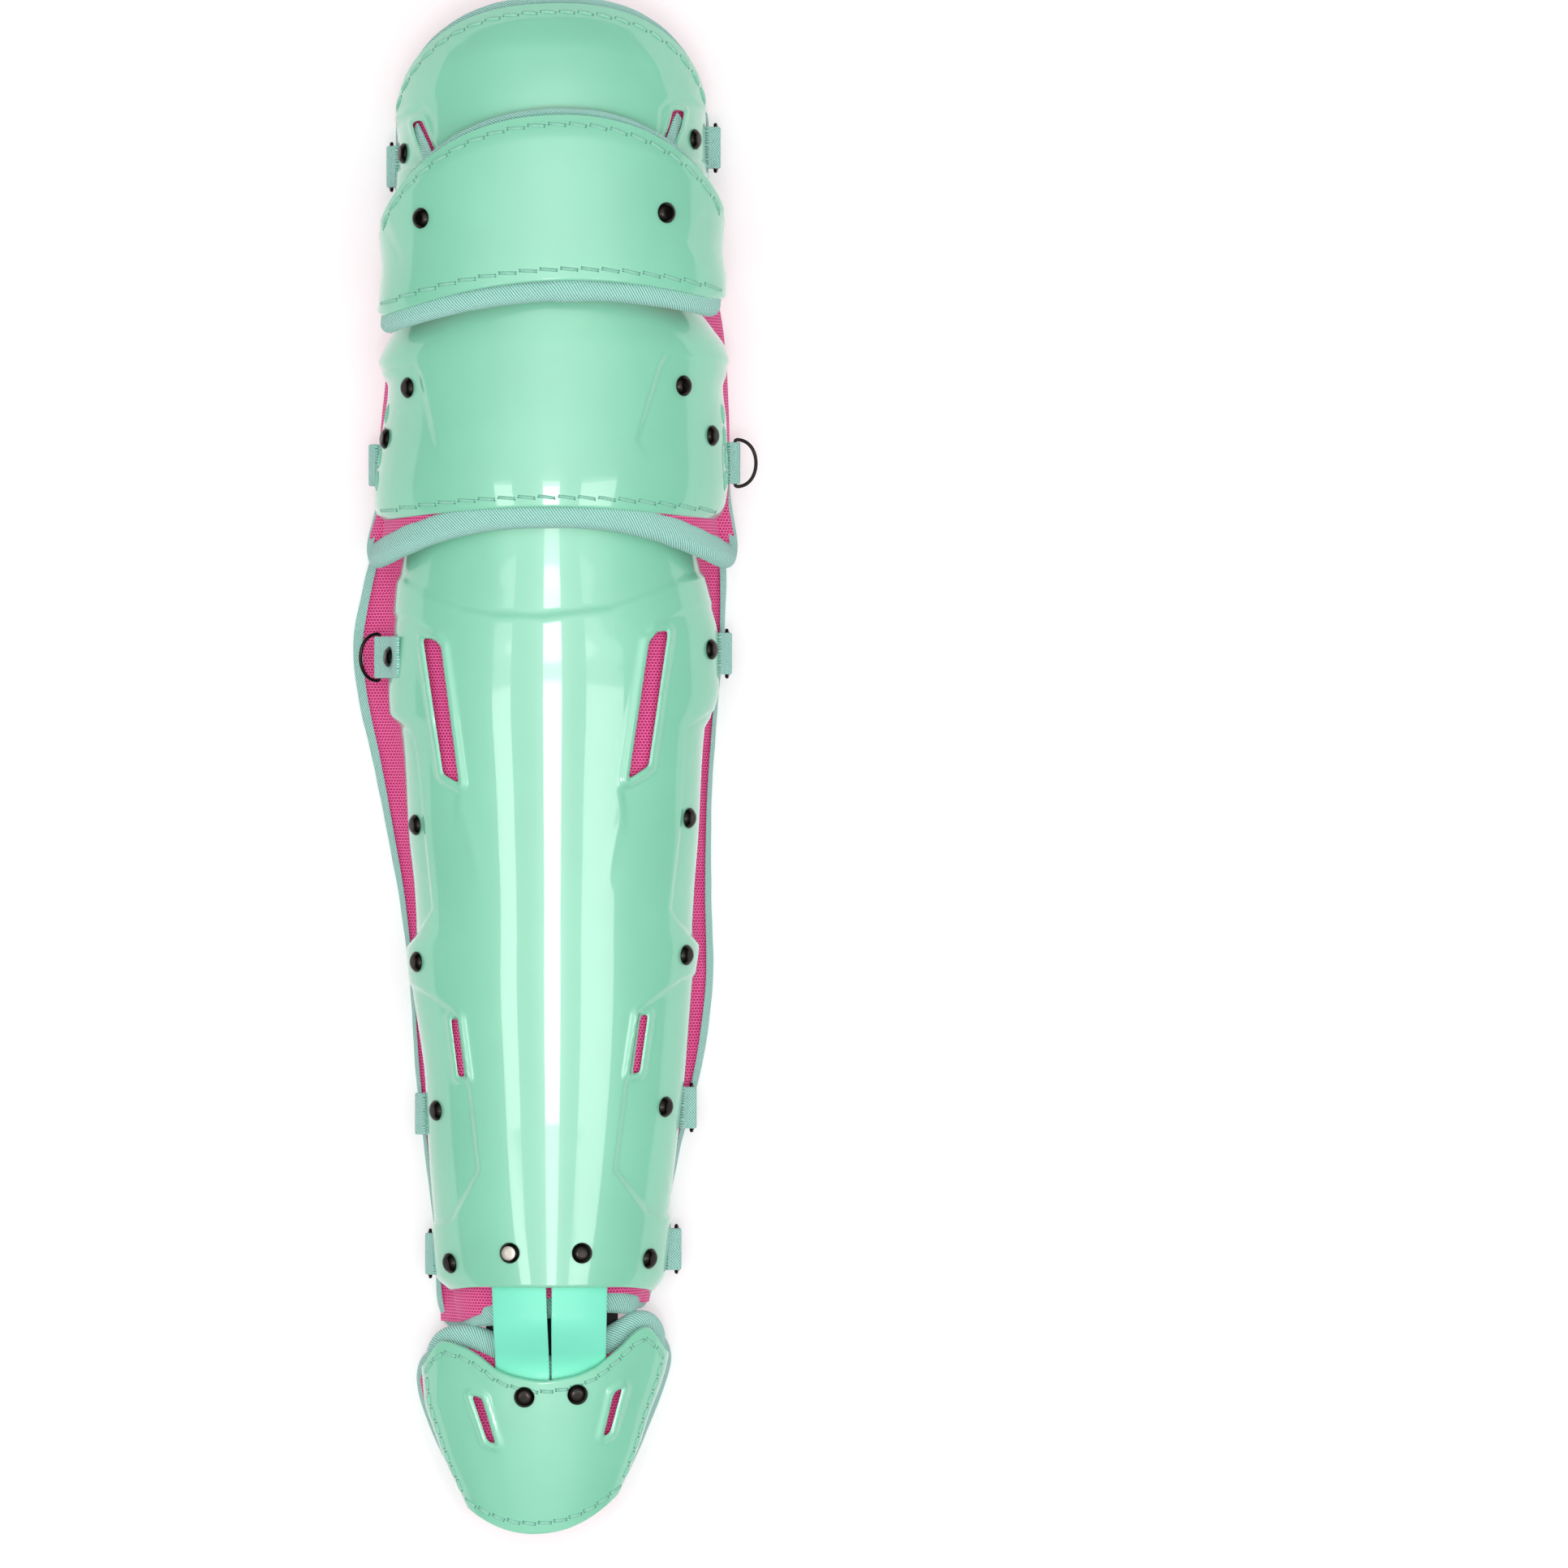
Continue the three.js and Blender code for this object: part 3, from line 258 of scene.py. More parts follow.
def columnAt(piece, name, share, smooth=True):
    place = sideColumns.index(name)
    stops = [row[0] for row in piece["sides"]]
    values = [row[place] for row in piece["sides"]]
    return smoothThrough(stops, values, share) if smooth else np.interp(share, stops, values)


def bottomAt(piece, across):
    edge = np.minimum(np.abs(across), 1)
    return piece["low"] + piece["tilt"] * across + piece["bottomRise"] * (1 - edge ** piece["bottomPower"])


def topAt(piece, across):
    edge = np.minimum(np.abs(across), 1)
    rise = np.maximum(0, 1 - edge ** piece["topPower"]) ** piece["topRoot"]
    if "topEdge" in piece:
        stops, rises = zip(*piece["topEdge"])
        rise = smoothThrough(stops, rises, across)
    return piece["low"] + piece["long"] + piece["tilt"] * across + piece["topRise"] * rise


# The half width's share: an even curve over the crown, and the table's own steps near the rims.
def evenedColumn(piece, name):
    if (name, "evened") not in piece:
        shares = np.linspace(0, 1, 101)
        values = np.pad(columnAt(piece, name, shares), 24, mode="reflect", reflect_type="odd")
        weights = np.exp(-(np.arange(-24, 25) / 9) ** 2)
        piece[(name, "evened")] = np.convolve(values, weights / weights.sum(), "valid")
    return piece[(name, "evened")]


def widthAt(piece, across, v, left, smooth=True):
    own = np.where(left, columnAt(piece, "left", v, smooth), columnAt(piece, "right", v, smooth))
    shares = np.linspace(0, 1, 101)
    even = np.where(left, np.interp(v, shares, evenedColumn(piece, "left")),
                    np.interp(v, shares, evenedColumn(piece, "right")))
    return even + (own - even) * np.abs(across) ** 5


# The arch of a piece: u from -1 (left rim) to 1 (right rim), v from 0 (bottom) to 1 (top).
def archPoint(piece, u, v, smooth=True):
    u, v = np.broadcast_arrays(np.asarray(u, float), np.asarray(v, float))
    angle = u * archSpread
    across = np.sin(angle) / math.sin(archSpread)
    fall = (1 - np.cos(angle)) / (1 - math.cos(archSpread))
    side = widthAt(piece, across, v, u < 0, smooth)
    crown = columnAt(piece, "crown", v, smooth)
    rim = columnAt(piece, "rim", v, smooth)
    bottom, top = bottomAt(piece, across), topAt(piece, across)
    return np.stack((
        piece["middle"] + piece["half"] * side * across,
        bottom + (top - bottom) * v,
        crownHeight * (crown - (crown - rim) * fall),
    ), -1)


def unit(vectors):
    return vectors / np.maximum(np.linalg.norm(vectors, axis=-1, keepdims=True), 1e-9)


def archNormal(piece, u, v):
    step = 0.01
    alongU = archPoint(piece, u + step, v) - archPoint(piece, u - step, v)
    inward = np.asarray(u) * 0.9
    above, below = np.clip(v + 3 * step, 0, 1), np.clip(v - 3 * step, 0, 1)
    alongV = archPoint(piece, inward, above) - archPoint(piece, inward, below)
    return unit(np.cross(alongU, alongV))


# The shares at which a piece passes through places seen from above.
def locate(piece, x, y):
    x, y = np.broadcast_arrays(np.asarray(x, float), np.asarray(y, float))
    v = np.full(x.shape, 0.5)
    across = np.zeros(x.shape)
    for turn in range(14):
        side = widthAt(piece, across, v, x < piece["middle"])
        across = np.clip((x - piece["middle"]) / (piece["half"] * side), -1, 1)
        bottom, top = bottomAt(piece, across), topAt(piece, across)
        v = np.clip((y - bottom) / (top - bottom), 0, 1)
    return np.arcsin(across * math.sin(archSpread)) / archSpread, v


# How much of a pad's thickness is left beside a bound edge, from the thickness its roll holds there.
def pinchAt(piece, s, v, thick):
    pinch = np.ones(s.shape)
    wing = crownHeight * (columnAt(piece, "rim", v) - columnAt(piece, "foot", v))
    edges = ((v * piece["long"], "rollBottom"), ((1 - v) * piece["long"], "rollTop"),
             ((2 - np.abs(s)) * np.maximum(wing, 4), "rollFoot"))
    for distance, name in edges:
        if name in piece:
            held = np.minimum(1.5 * piece[name] / thick, 1)
            pinch = np.minimum(pinch, held + (1 - held) * easing(distance / 15))
    return pinch


# A pad's point: s beyond 1 or -1 curves down the wing to the foot (at 2 or -2).
def padPoint(piece, s, v, share):
    s, v = np.broadcast_arrays(np.asarray(s, float), np.asarray(v, float))
    u = np.clip(s, -1, 1)
    thick = piece["thickSide"] + (piece["thickCrown"] - piece["thickSide"]) * np.cos(u * archSpread)
    pinch = pinchAt(piece, s, v, thick)
    onEdge = 0.5 - 0.5 * easing((np.abs(s) - 1) / 0.5)
    share = onEdge + (share - onEdge) * pinch
    top = archPoint(piece, u, v) - archNormal(piece, u, v) * (share * thick)[..., None]
    down = (np.abs(s) - np.abs(u))[..., None]
    sign = np.sign(s)
    feet = np.where(s < 0, -columnAt(piece, "footLeft", v), columnAt(piece, "footRight", v))
    foot = np.stack((
        piece["middle"] + piece["half"] * feet,
        bottomAt(piece, sign) + (topAt(piece, sign) - bottomAt(piece, sign)) * v,
        crownHeight * columnAt(piece, "foot", v),
    ), -1)
    wing = foot - archPoint(piece, sign, v)
    facing = unit(np.stack((-wing[..., 2] * sign, 0 * v, np.maximum(wing[..., 0] * sign, 0)), -1))
    foot = foot - facing * (share * thick)[..., None]
    place = top + (foot - top) * down
    drawnIn = piece.get("skirt", 0) * easing(v / 0.06) * easing((1 - v) / 0.06)
    place[..., 0] -= sign * drawnIn * np.sin(math.pi * down[..., 0])
    return place


# Reference pixels as places seen from above, in mm before the frame's shift.
def traced(*pixels):
    return np.array([((x - middlePixel) * pixelSize, (lowestPixel - y) * pixelSize) for x, y in pixels])


def distanceTo(path, x, y, closed=False):
    corners = list(path) + ([path[0]] if closed else [])
    nearest = np.full(np.shape(x), 1e9)
    for (ax, ay), (bx, by) in zip(corners[:-1], corners[1:]):
        dx, dy = bx - ax, by - ay
        t = np.clip(((x - ax) * dx + (y - ay) * dy) / (dx * dx + dy * dy), 0, 1)
        nearest = np.minimum(nearest, np.hypot(x - ax - t * dx, y - ay - t * dy))
    return nearest


# How far outside a closed outline a place is; negative inside it.
def outsideOf(path, x, y):
    inside = np.zeros(np.shape(x), bool)
    for (ax, ay), (bx, by) in zip(path, np.roll(path, -1, axis=0)):
        crosses = (ay > y) != (by > y)
        inside ^= crosses & (x < ax + (y - ay) * (bx - ax) / (by - ay if by != ay else 1))
    return np.where(inside, -1, 1) * distanceTo(path, x, y, closed=True)


# A sunk field inside an outline, with a sloping edge of a given width.
def sunk(outline, depth, width, x, y):
    return -depth * easing(0.5 - outsideOf(outline, x, y) / width)


# A raised lip round a slot, falling into it.
def lip(outline, height, width, x, y):
    away = outsideOf(outline, x, y)
    hump = height * np.exp(-((away - 0.55 * width) / (0.5 * width)) ** 2)
    return hump - 0.9 * height * easing(1 - (away + 0.5) / 1.1)


def crease(path, depth, width, x, y):
    return depth * np.exp(-(distanceTo(path, x, y) / width) ** 2)


# Meshes

def newObject(name, points, faces, uv=None, materials=(), faceMaterials=None, sharp=40):
    mesh = bpy.data.meshes.new(name)
    points = (np.reshape(points, (-1, 3)) + frameShift) / 1000
    mesh.from_pydata(points.tolist(), [], faces)
    if uv is not None:
        layer = mesh.uv_layers.new(name="cloth")
        corners = np.zeros(len(mesh.loops), np.int32)
        mesh.loops.foreach_get("vertex_index", corners)
        layer.data.foreach_set("uv", np.reshape(uv, (-1, 2))[corners].astype(np.float32).ravel())
    for material in materials:
        mesh.materials.append(material)
    if faceMaterials is not None:
        mesh.polygons.foreach_set("material_index", faceMaterials)
    mesh.shade_smooth()
    mesh.set_sharp_from_angle(angle=math.radians(sharp))
    piece = bpy.data.objects.new(name, mesh)
    bpy.context.collection.objects.link(piece)
    return piece


def quads(*corners):
    return np.stack(corners, -1).reshape(-1, 4).tolist()


# The wall between two rings of a prism's points, and its two ends.
def wallFaces(low, high, count):
    return [(low + k, low + (k + 1) % count, high + (k + 1) % count, high + k) for k in range(count)]


def endFaces(low, high, count):
    return [tuple(low + k for k in reversed(range(count))), tuple(high + k for k in range(count))]


# A closed skin over a grid of outer points, with a rounded rim and a coarser grid of inner points.
def closedSheet(name, outer, inner, uv, material, bulge=0.25):
    rimRings, coarse = 3, 3
    rows, columns = outer.shape[:2]
    index = np.arange(rows * columns).reshape(rows, columns)
    faces = quads(index[:-1, :-1], index[:-1, 1:], index[1:, 1:], index[1:, :-1])

    def around(grid):
        return np.concatenate((grid[0, :-1], grid[:-1, -1], grid[-1, :0:-1], grid[:0:-1, 0]))

    def beside(grid):
        return np.concatenate((grid[1, :-1], grid[:-1, -2], grid[-2, :0:-1], grid[:0:-1, 1]))

    outerEdge, innerEdge = around(outer), around(inner)
    middle = (outerEdge + innerEdge) / 2
    away = unit(middle - (beside(outer) + beside(inner)) / 2)
    reach = np.linalg.norm(outerEdge - innerEdge, axis=-1, keepdims=True) * bulge
    onward = unit(around(uv) - beside(uv))
    points = [outer.reshape(-1, 3)]
    uvs = [uv.reshape(-1, 2)]
    edge = around(index)
    count = len(edge)
    for ring in range(1, rimRings + 1):
        turn = math.pi * ring / (rimRings + 1)
        ringPoints = middle + (outerEdge - middle) * math.cos(turn) + away * reach * math.sin(turn)
        points.append(ringPoints)
        # The cloth runs on over the rim.
        uvs.append(around(uv) + onward * np.linalg.norm(ringPoints - outerEdge, axis=-1, keepdims=True))
        start = sum(len(part) for part in points[:-1])
        nextEdge = np.arange(start, start + count)
        faces += quads(edge, nextEdge, np.roll(nextEdge, -1), np.roll(edge, -1))
        edge = nextEdge
    start = sum(len(part) for part in points)
    points.append(inner[::coarse, ::coarse].reshape(-1, 3))
    uvs.append(uv[::coarse, ::coarse].reshape(-1, 2))
    coarseRows, coarseColumns = (rows - 1) // coarse + 1, (columns - 1) // coarse + 1
    index = start + np.arange(coarseRows * coarseColumns).reshape(coarseRows, coarseColumns)
    faces += quads(index[:-1, :-1], index[1:, :-1], index[1:, 1:], index[:-1, 1:])
    inside = around(index)
    for k in range(len(inside)):
        run = [edge[(k * coarse + j) % count] for j in range(coarse + 1)]
        faces.append([int(i) for i in (run[0], inside[k], inside[(k + 1) % len(inside)], *run[:0:-1])])
    return newObject(name, np.concatenate(points), faces, np.concatenate(uvs), (material,))


# A tube through centres, its section given by points across and up, each scaled by a radius.
def sweep(name, centres, outward, upward, section, radii, closed, material, uv=None):
    count, sides = len(centres), len(section)
    scaled = section[None] * np.reshape(radii, (-1, 1, 1))
    points = centres[:, None] + scaled[..., :1] * outward[:, None] + scaled[..., 1:] * upward[:, None]
    faces = []
    for j in range(count if closed else count - 1):
        here, after = j * sides, (j + 1) % count * sides
        faces += [(here + k, after + k, after + (k + 1) % sides, here + (k + 1) % sides)
                  for k in range(sides)]
    if not closed:
        faces.append(tuple(range(sides)))
        faces.append(tuple((count - 1) * sides + k for k in reversed(range(sides))))
    if uv is None:
        along, girth = distancesAlong(centres), distancesAlong(section)
        uv = np.stack(np.broadcast_arrays(along[:, None], girth[None] * np.mean(radii)), -1)
    return newObject(name, points, faces, uv, (material,), sharp=50)


def tangentsOf(points, closed=False):
    if closed:
        return unit(np.roll(points, -1, axis=0) - np.roll(points, 1, axis=0))
    return unit(np.gradient(points, axis=0))


def evened(points, closed, passes):
    for turn in range(passes):
        middle = (np.roll(points, 1, axis=0) + np.roll(points, -1, axis=0)) / 2
        if not closed:
            middle[0], middle[-1] = points[0], points[-1]
        points = (points + middle) / 2
    return points


def distancesAlong(points):
    return np.concatenate(([0], np.cumsum(np.linalg.norm(np.diff(points, axis=0), axis=-1))))


# Points spaced evenly along a line.
def spacedAlong(points, pitch):
    run = distancesAlong(points)
    count = max(2, round(run[-1] / pitch))
    stops = np.linspace(0, run[-1], count + 1)
    return np.stack([np.interp(stops, run, points[:, k]) for k in range(points.shape[1])], -1)


def settle(piece, nodes, body="guard"):
    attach(piece, body)
    if nodes:
        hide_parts(*nodes)
    return piece


# Materials

def newMaterial(name):
    material = bpy.data.materials.new(name)
    material.use_nodes = True
    nodes = material.node_tree.nodes
    return material, nodes, material.node_tree.links, nodes["Principled BSDF"]


def newGroup(name, inputs, outputs):
    group = bpy.data.node_groups.new(name, "ShaderNodeTree")
    for label, kind, value in inputs:
        socket = group.interface.new_socket(label, in_out="INPUT", socket_type=kind)
        if value is not None:
            socket.default_value = value
    for label, kind in outputs:
        group.interface.new_socket(label, in_out="OUTPUT", socket_type=kind)
    return group, group.nodes.new("NodeGroupInput"), group.nodes.new("NodeGroupOutput")


def setSockets(node, values):
    for label, value in values.items():
        node.inputs[label].default_value = value


def useGroup(nodes, group, **values):
    node = nodes.new("ShaderNodeGroup")
    node.node_tree = group
    setSockets(node, values)
    return node


def mathNode(nodes, links, operation, *values):
    node = nodes.new("ShaderNodeMath")
    node.operation = operation
    for socket, value in zip(node.inputs, values):
        if isinstance(value, (int, float)):
            socket.default_value = value
        else:
            links.new(value, socket)
    return node.outputs[0]


def mixColours(nodes, links, factor, first, second):
    node = nodes.new("ShaderNodeMix")
    node.data_type = "RGBA"
    for socket, value in zip((node.inputs[0], node.inputs[6], node.inputs[7]), (factor, first, second)):
        if isinstance(value, (int, float, tuple)):
            socket.default_value = value
        else:
            links.new(value, socket)
    return node.outputs[2]


def bumpFrom(nodes, links, height, strength, distance):
    node = nodes.new("ShaderNodeBump")
    setSockets(node, {"Strength": strength, "Distance": distance})
    links.new(height, node.inputs["Height"])
    return node.outputs["Normal"]


def linearColour(red, green, blue):
    def channel(value):
        share = value / 255
        return share / 12.92 if share <= 0.04045 else ((share + 0.055) / 1.055) ** 2.4
    return (channel(red), channel(green), channel(blue), 1)


colours = {
    "mint": linearColour(140, 213, 182),
    "tab": linearColour(132, 238, 206),
    "twill": linearColour(206, 252, 243),
    # darker colour for the grooves between woven ribs: painted shade
    "twillGrooveShade": linearColour(88, 170, 152),
    "pink": linearColour(246, 62, 150),
    # lighter pink in random patches on the yarn: partly the yarn's own tone, partly painted highlight
    "pinkYarnHighlight": linearColour(255, 150, 205),
    # darker pink of the mesh holes: painted shade in the holes
    "pinkHoleShade": linearColour(158, 18, 84),
    # pink emission of the mesh: painted light, the mesh is no lamp
    "pinkGlow": linearColour(255, 40, 130),
    "thread": linearColour(158, 228, 202),
    # dark teal of the needle holes: painted shade in the holes
    "hole": linearColour(74, 146, 124),
    "gunmetal": linearColour(42, 39, 37),
    "worn": linearColour(212, 206, 196),
    # dark sheet in the ankle slit: painted shade
    "slitShadeTone": linearColour(26, 26, 28),
    "slitShadeGroove": linearColour(12, 12, 13),
}


def noiseTexture(nodes, links, place, scale, detail=2):
    noise = nodes.new("ShaderNodeTexNoise")
    setSockets(noise, {"Scale": scale, "Detail": detail})
    links.new(place, noise.inputs["Vector"])
    return noise.outputs[0]


def clothPlace(nodes):
    place = nodes.new("ShaderNodeUVMap")
    place.uv_map = "cloth"
    return place.outputs[0]


# Wear on hard pieces: uneven gloss, fine rubbed lines and a little waviness.
def makeWearGroup():
    group, given, result = newGroup(
        "surface_wear",
        (("Gloss", "NodeSocketFloat", 0.1), ("Rub", "NodeSocketFloat", 0.05),
         ("Scale", "NodeSocketFloat", 60)),
        (("Roughness", "NodeSocketFloat"), ("Shade", "NodeSocketFloat"), ("Normal", "NodeSocketVector")),
    )
    nodes, links = group.nodes, group.links
    place = nodes.new("ShaderNodeTexCoord").outputs["Object"]
    cloud = noiseTexture(nodes, links, place, 5, 4)
    links.new(given.outputs["Scale"], cloud.node.inputs["Scale"])
    stretch = nodes.new("ShaderNodeMapping")
    setSockets(stretch, {"Scale": (900, 35, 900), "Rotation": (0.3, 0.2, 0.5)})
    links.new(place, stretch.inputs["Vector"])
    lines = noiseTexture(nodes, links, stretch.outputs["Vector"], 1)
    rubbed = mathNode(nodes, links, "SMOOTH_MIN", mathNode(
        nodes, links, "MAXIMUM", mathNode(nodes, links, "SUBTRACT", lines, 0.62), 0), 1, 0.1)
    spread = mathNode(nodes, links, "MULTIPLY", cloud, given.outputs["Rub"])
    depth = mathNode(nodes, links, "MULTIPLY", given.outputs["Rub"], 8)
    scratches = mathNode(nodes, links, "MULTIPLY", rubbed, depth)
    links.new(mathNode(nodes, links, "ADD", mathNode(
        nodes, links, "ADD", given.outputs["Gloss"], spread), scratches), result.inputs["Roughness"])
    links.new(mathNode(nodes, links, "SUBTRACT", cloud, 0.5), result.inputs["Shade"])
    links.new(bumpFrom(nodes, links, cloud, 0.03, 0.002), result.inputs["Normal"])
    return group


# Woven ribs: slanted where zigzag is 0, turning back and forth every zigzag mm otherwise.
def makeWeaveGroup():
    group, given, result = newGroup(
        "woven_ribs",
        (("Pitch", "NodeSocketFloat", 0.9), ("Slant", "NodeSocketFloat", 1.0),
         ("Zigzag", "NodeSocketFloat", 400), ("Light", "NodeSocketColor", None),
         ("Dark", "NodeSocketColor", None)),
        (("Color", "NodeSocketColor"), ("Normal", "NodeSocketVector")),
    )
    nodes, links = group.nodes, group.links
    place = clothPlace(nodes)
    parts = nodes.new("ShaderNodeSeparateXYZ")
    links.new(place, parts.inputs[0])
    folded = mathNode(nodes, links, "PINGPONG", parts.outputs[1], given.outputs["Zigzag"])
    slanted = mathNode(nodes, links, "MULTIPLY", folded, given.outputs["Slant"])
    across = mathNode(nodes, links, "ADD", parts.outputs[0], slanted)
    phase = mathNode(nodes, links, "DIVIDE", across, given.outputs["Pitch"])
    wave = mathNode(nodes, links, "SINE", mathNode(nodes, links, "MULTIPLY", phase, 2 * math.pi))
    ribs = mathNode(nodes, links, "MULTIPLY_ADD", wave, 0.42, 0.5)
    yarn = mathNode(nodes, links, "MULTIPLY_ADD", noiseTexture(nodes, links, place, 1.6, 3), 0.5, -0.25)
    height = mathNode(nodes, links, "ADD", ribs, yarn)
    # The colour runs from Dark in the grooves to Light on the crests, with the rib height: painted shade in
    # the grooves.
    colour = mixColours(nodes, links, height, given.outputs["Dark"], given.outputs["Light"])
    links.new(colour, result.inputs["Color"])
    links.new(bumpFrom(nodes, links, height, 0.9, 0.0004), result.inputs["Normal"])
    return group


# Air mesh: rows of holes, each row half a hole further, between shiny yarn.
def makeAirMesh():
    material, nodes, links, shader = newMaterial("air_mesh")
    place = clothPlace(nodes)
    bricks = nodes.new("ShaderNodeTexBrick")
    links.new(place, bricks.inputs["Vector"])
    setSockets(bricks, {
        "Scale": 1, "Mortar Size": 0.33, "Mortar Smooth": 0.75, "Brick Width": 1.75, "Row Height": 1.3,
        "Bias": 0,
    })
    holes = bricks.outputs["Fac"]
    yarn = noiseTexture(nodes, links, place, 2.2, 4)
    # The yarn turns lighter pink in random patches: partly its own uneven tone, partly painted highlight.
    cloth = mixColours(nodes, links, yarn, colours["pink"], colours["pinkYarnHighlight"])
    # The holes get the darker pink: painted shade in the holes of the mesh.
    links.new(mixColours(nodes, links, holes, colours["pinkHoleShade"], cloth), shader.inputs["Base Color"])
    height = mathNode(nodes, links, "ADD", holes, mathNode(nodes, links, "MULTIPLY", yarn, 0.5))
    links.new(bumpFrom(nodes, links, height, 0.6, 0.0005), shader.inputs["Normal"])
    # The emission makes the mesh glow a little pink: painted light.
    setSockets(shader, {
        "Roughness": 0.62, "Emission Color": colours["pinkGlow"], "Emission Strength": 0.14,
        "Sheen Weight": 0.25, "Sheen Tint": colours["pinkYarnHighlight"],
    })
    return material


# A surface whose tone, gloss and normal come from the wear group.
def makeWorn(name, wear, colour, settings, unevenness, sockets):
    material, nodes, links, shader = newMaterial(name)
    finish = useGroup(nodes, wear, **settings)
    tone = mathNode(nodes, links, "MULTIPLY_ADD", finish.outputs["Shade"], unevenness, 1.0)
    shade = nodes.new("ShaderNodeVectorMath")
    shade.operation = "SCALE"
    shade.inputs[0].default_value = colour[:3]
    links.new(tone, shade.inputs["Scale"])
    links.new(shade.outputs[0], shader.inputs["Base Color"])
    links.new(finish.outputs["Roughness"], shader.inputs["Roughness"])
    links.new(finish.outputs["Normal"], shader.inputs["Normal"])
    setSockets(shader, sockets)
    return material


def makePlastic(name, wear, colour, gloss, coat):
    return makeWorn(name, wear, colour, {"Gloss": gloss, "Rub": 0.04, "Scale": 22}, 0.16, {
        "Coat Weight": coat, "Coat Roughness": 0.035, "Coat IOR": 1.45, "Specular IOR Level": 0.3,
        "Subsurface Weight": 0.12, "Subsurface Radius": (0.6, 1.0, 0.8), "Subsurface Scale": 0.002,
    })


def makeMetal(name, wear, colour, gloss):
    return makeWorn(name, wear, colour, {"Gloss": gloss, "Rub": 0.2, "Scale": 300}, 0.5, {"Metallic": 1})


def makeCloth(name, weave, light, dark, pitch, slant, zigzag, sheen=0.2):
    material, nodes, links, shader = newMaterial(name)
    ribs = useGroup(nodes, weave, Pitch=pitch, Slant=slant, Zigzag=zigzag, Light=light, Dark=dark)
    links.new(ribs.outputs["Color"], shader.inputs["Base Color"])
    links.new(ribs.outputs["Normal"], shader.inputs["Normal"])
    setSockets(shader, {"Roughness": 0.8, "Sheen Weight": sheen})
    return material


def makePlain(name, colour, roughness):
    material, nodes, links, shader = newMaterial(name)
    grain = noiseTexture(nodes, links, nodes.new("ShaderNodeTexCoord").outputs["Object"], 900)
    dark = tuple(0.6 * value for value in colour[:3]) + (1,)
    links.new(mixColours(nodes, links, grain, dark, colour), shader.inputs["Base Color"])
    shader.inputs["Roughness"].default_value = roughness
    return material


wearGroup = makeWearGroup()
weaveGroup = makeWeaveGroup()
airMesh = makeAirMesh()
plastic = makePlastic("mint_plastic", wearGroup, colours["mint"], 0.2, 1.0)
tabPlastic = makePlastic("tab_plastic", wearGroup, colours["tab"], 0.42, 0.1)
gunmetal = makeMetal("gunmetal", wearGroup, colours["gunmetal"], 0.12)
wornMetal = makeMetal("worn_metal", wearGroup, colours["worn"], 0.42)
twill = makeCloth("twill_binding", weaveGroup, colours["twill"], colours["twillGrooveShade"], 1.25, 0.8, 400)
herringbone = makeCloth("webbing", weaveGroup, colours["twill"], colours["twillGrooveShade"], 1.4, 1.2, 3.1)
threadCloth = makePlain("thread", colours["thread"], 0.55)
# Dark discs for the needle holes: painted shade in the holes.
holeShadeCloth = makePlain("needle_hole_shade", colours["hole"], 0.9)
# The dark sheet in the ankle slit: painted shade.
slitShadeCloth = makeCloth(
    "slit_shade_cloth", weaveGroup, colours["slitShadeTone"], colours["slitShadeGroove"], 1.2, 0.2, 400, sheen=0.05)
print("materials done")


# Relief of the hard pieces, in mm along the surface's outward direction.

shinRelief = {
    "upperField": traced((440, 690), (495, 715), (520, 730), (569, 751), (610, 759), (670, 761),
                         (752, 751), (800, 733), (848, 713), (920, 690), (920, 600), (440, 600)),
    "upperDepth": 1.3,
    "edgeFields": (
        traced((430, 880), (478, 884), (508, 905), (512, 927), (521, 1003), (533, 1120), (504, 1164),
               (430, 1180)),
        traced((940, 868), (877, 879), (847, 899), (842, 1003), (828, 1120), (835, 1133), (860, 1160),
               (940, 1170)),
    ),
    "edgeDepth": 1.1,
    "sideFields": (
        traced((420, 745), (494, 760), (534, 777), (517, 791), (545, 963), (566, 975), (560, 1050),
               (533, 1120), (521, 1003), (508, 905), (430, 860)),
        traced((950, 735), (862, 748), (818, 765), (795, 782), (828, 780), (800, 955), (768, 972),
               (775, 1050), (828, 1120), (842, 1003), (847, 899), (940, 850)),
    ),
    "sideDepth": 0.9,
    "lowerFields": (
        traced((420, 1190), (510, 1216), (532, 1228), (562, 1247), (577, 1328), (590, 1440),
               (556, 1502), (420, 1540)),
        traced((950, 1180), (842, 1206), (829, 1216), (788, 1244), (774, 1328), (760, 1440),
               (800, 1492), (950, 1530)),
    ),
    "lowerDepth": 1.7,
    "slots": (
        traced((523, 787), (537, 789), (545, 797), (567, 965), (548, 954)),
        traced((811, 779), (823, 778), (823, 786), (800, 944), (776, 960), (801, 792)),
        traced((557, 1254), (565, 1255), (574, 1326), (566, 1325)),
        traced((790, 1250), (799, 1249), (789, 1320), (780, 1322)),
    ),
    "lipHeight": 1.1, "lipWidth": 3.2, "upperWidth": 4.2, "edgeWidth": 2.4, "sideWidth": 3.4,
    "lowerWidth": 3.0, "sideFrom": 303, "sideFade": 32, "creaseDepth": 0.22, "creaseWidth": 2.6,
    "creaseFrom": 276, "creaseIn": 28, "creaseTo": 332, "creaseOut": 20,
    "creases": (
        traced((566, 972), (580, 1030), (598, 1110)),
        traced((775, 972), (758, 1040), (742, 1120)),
    ),
}


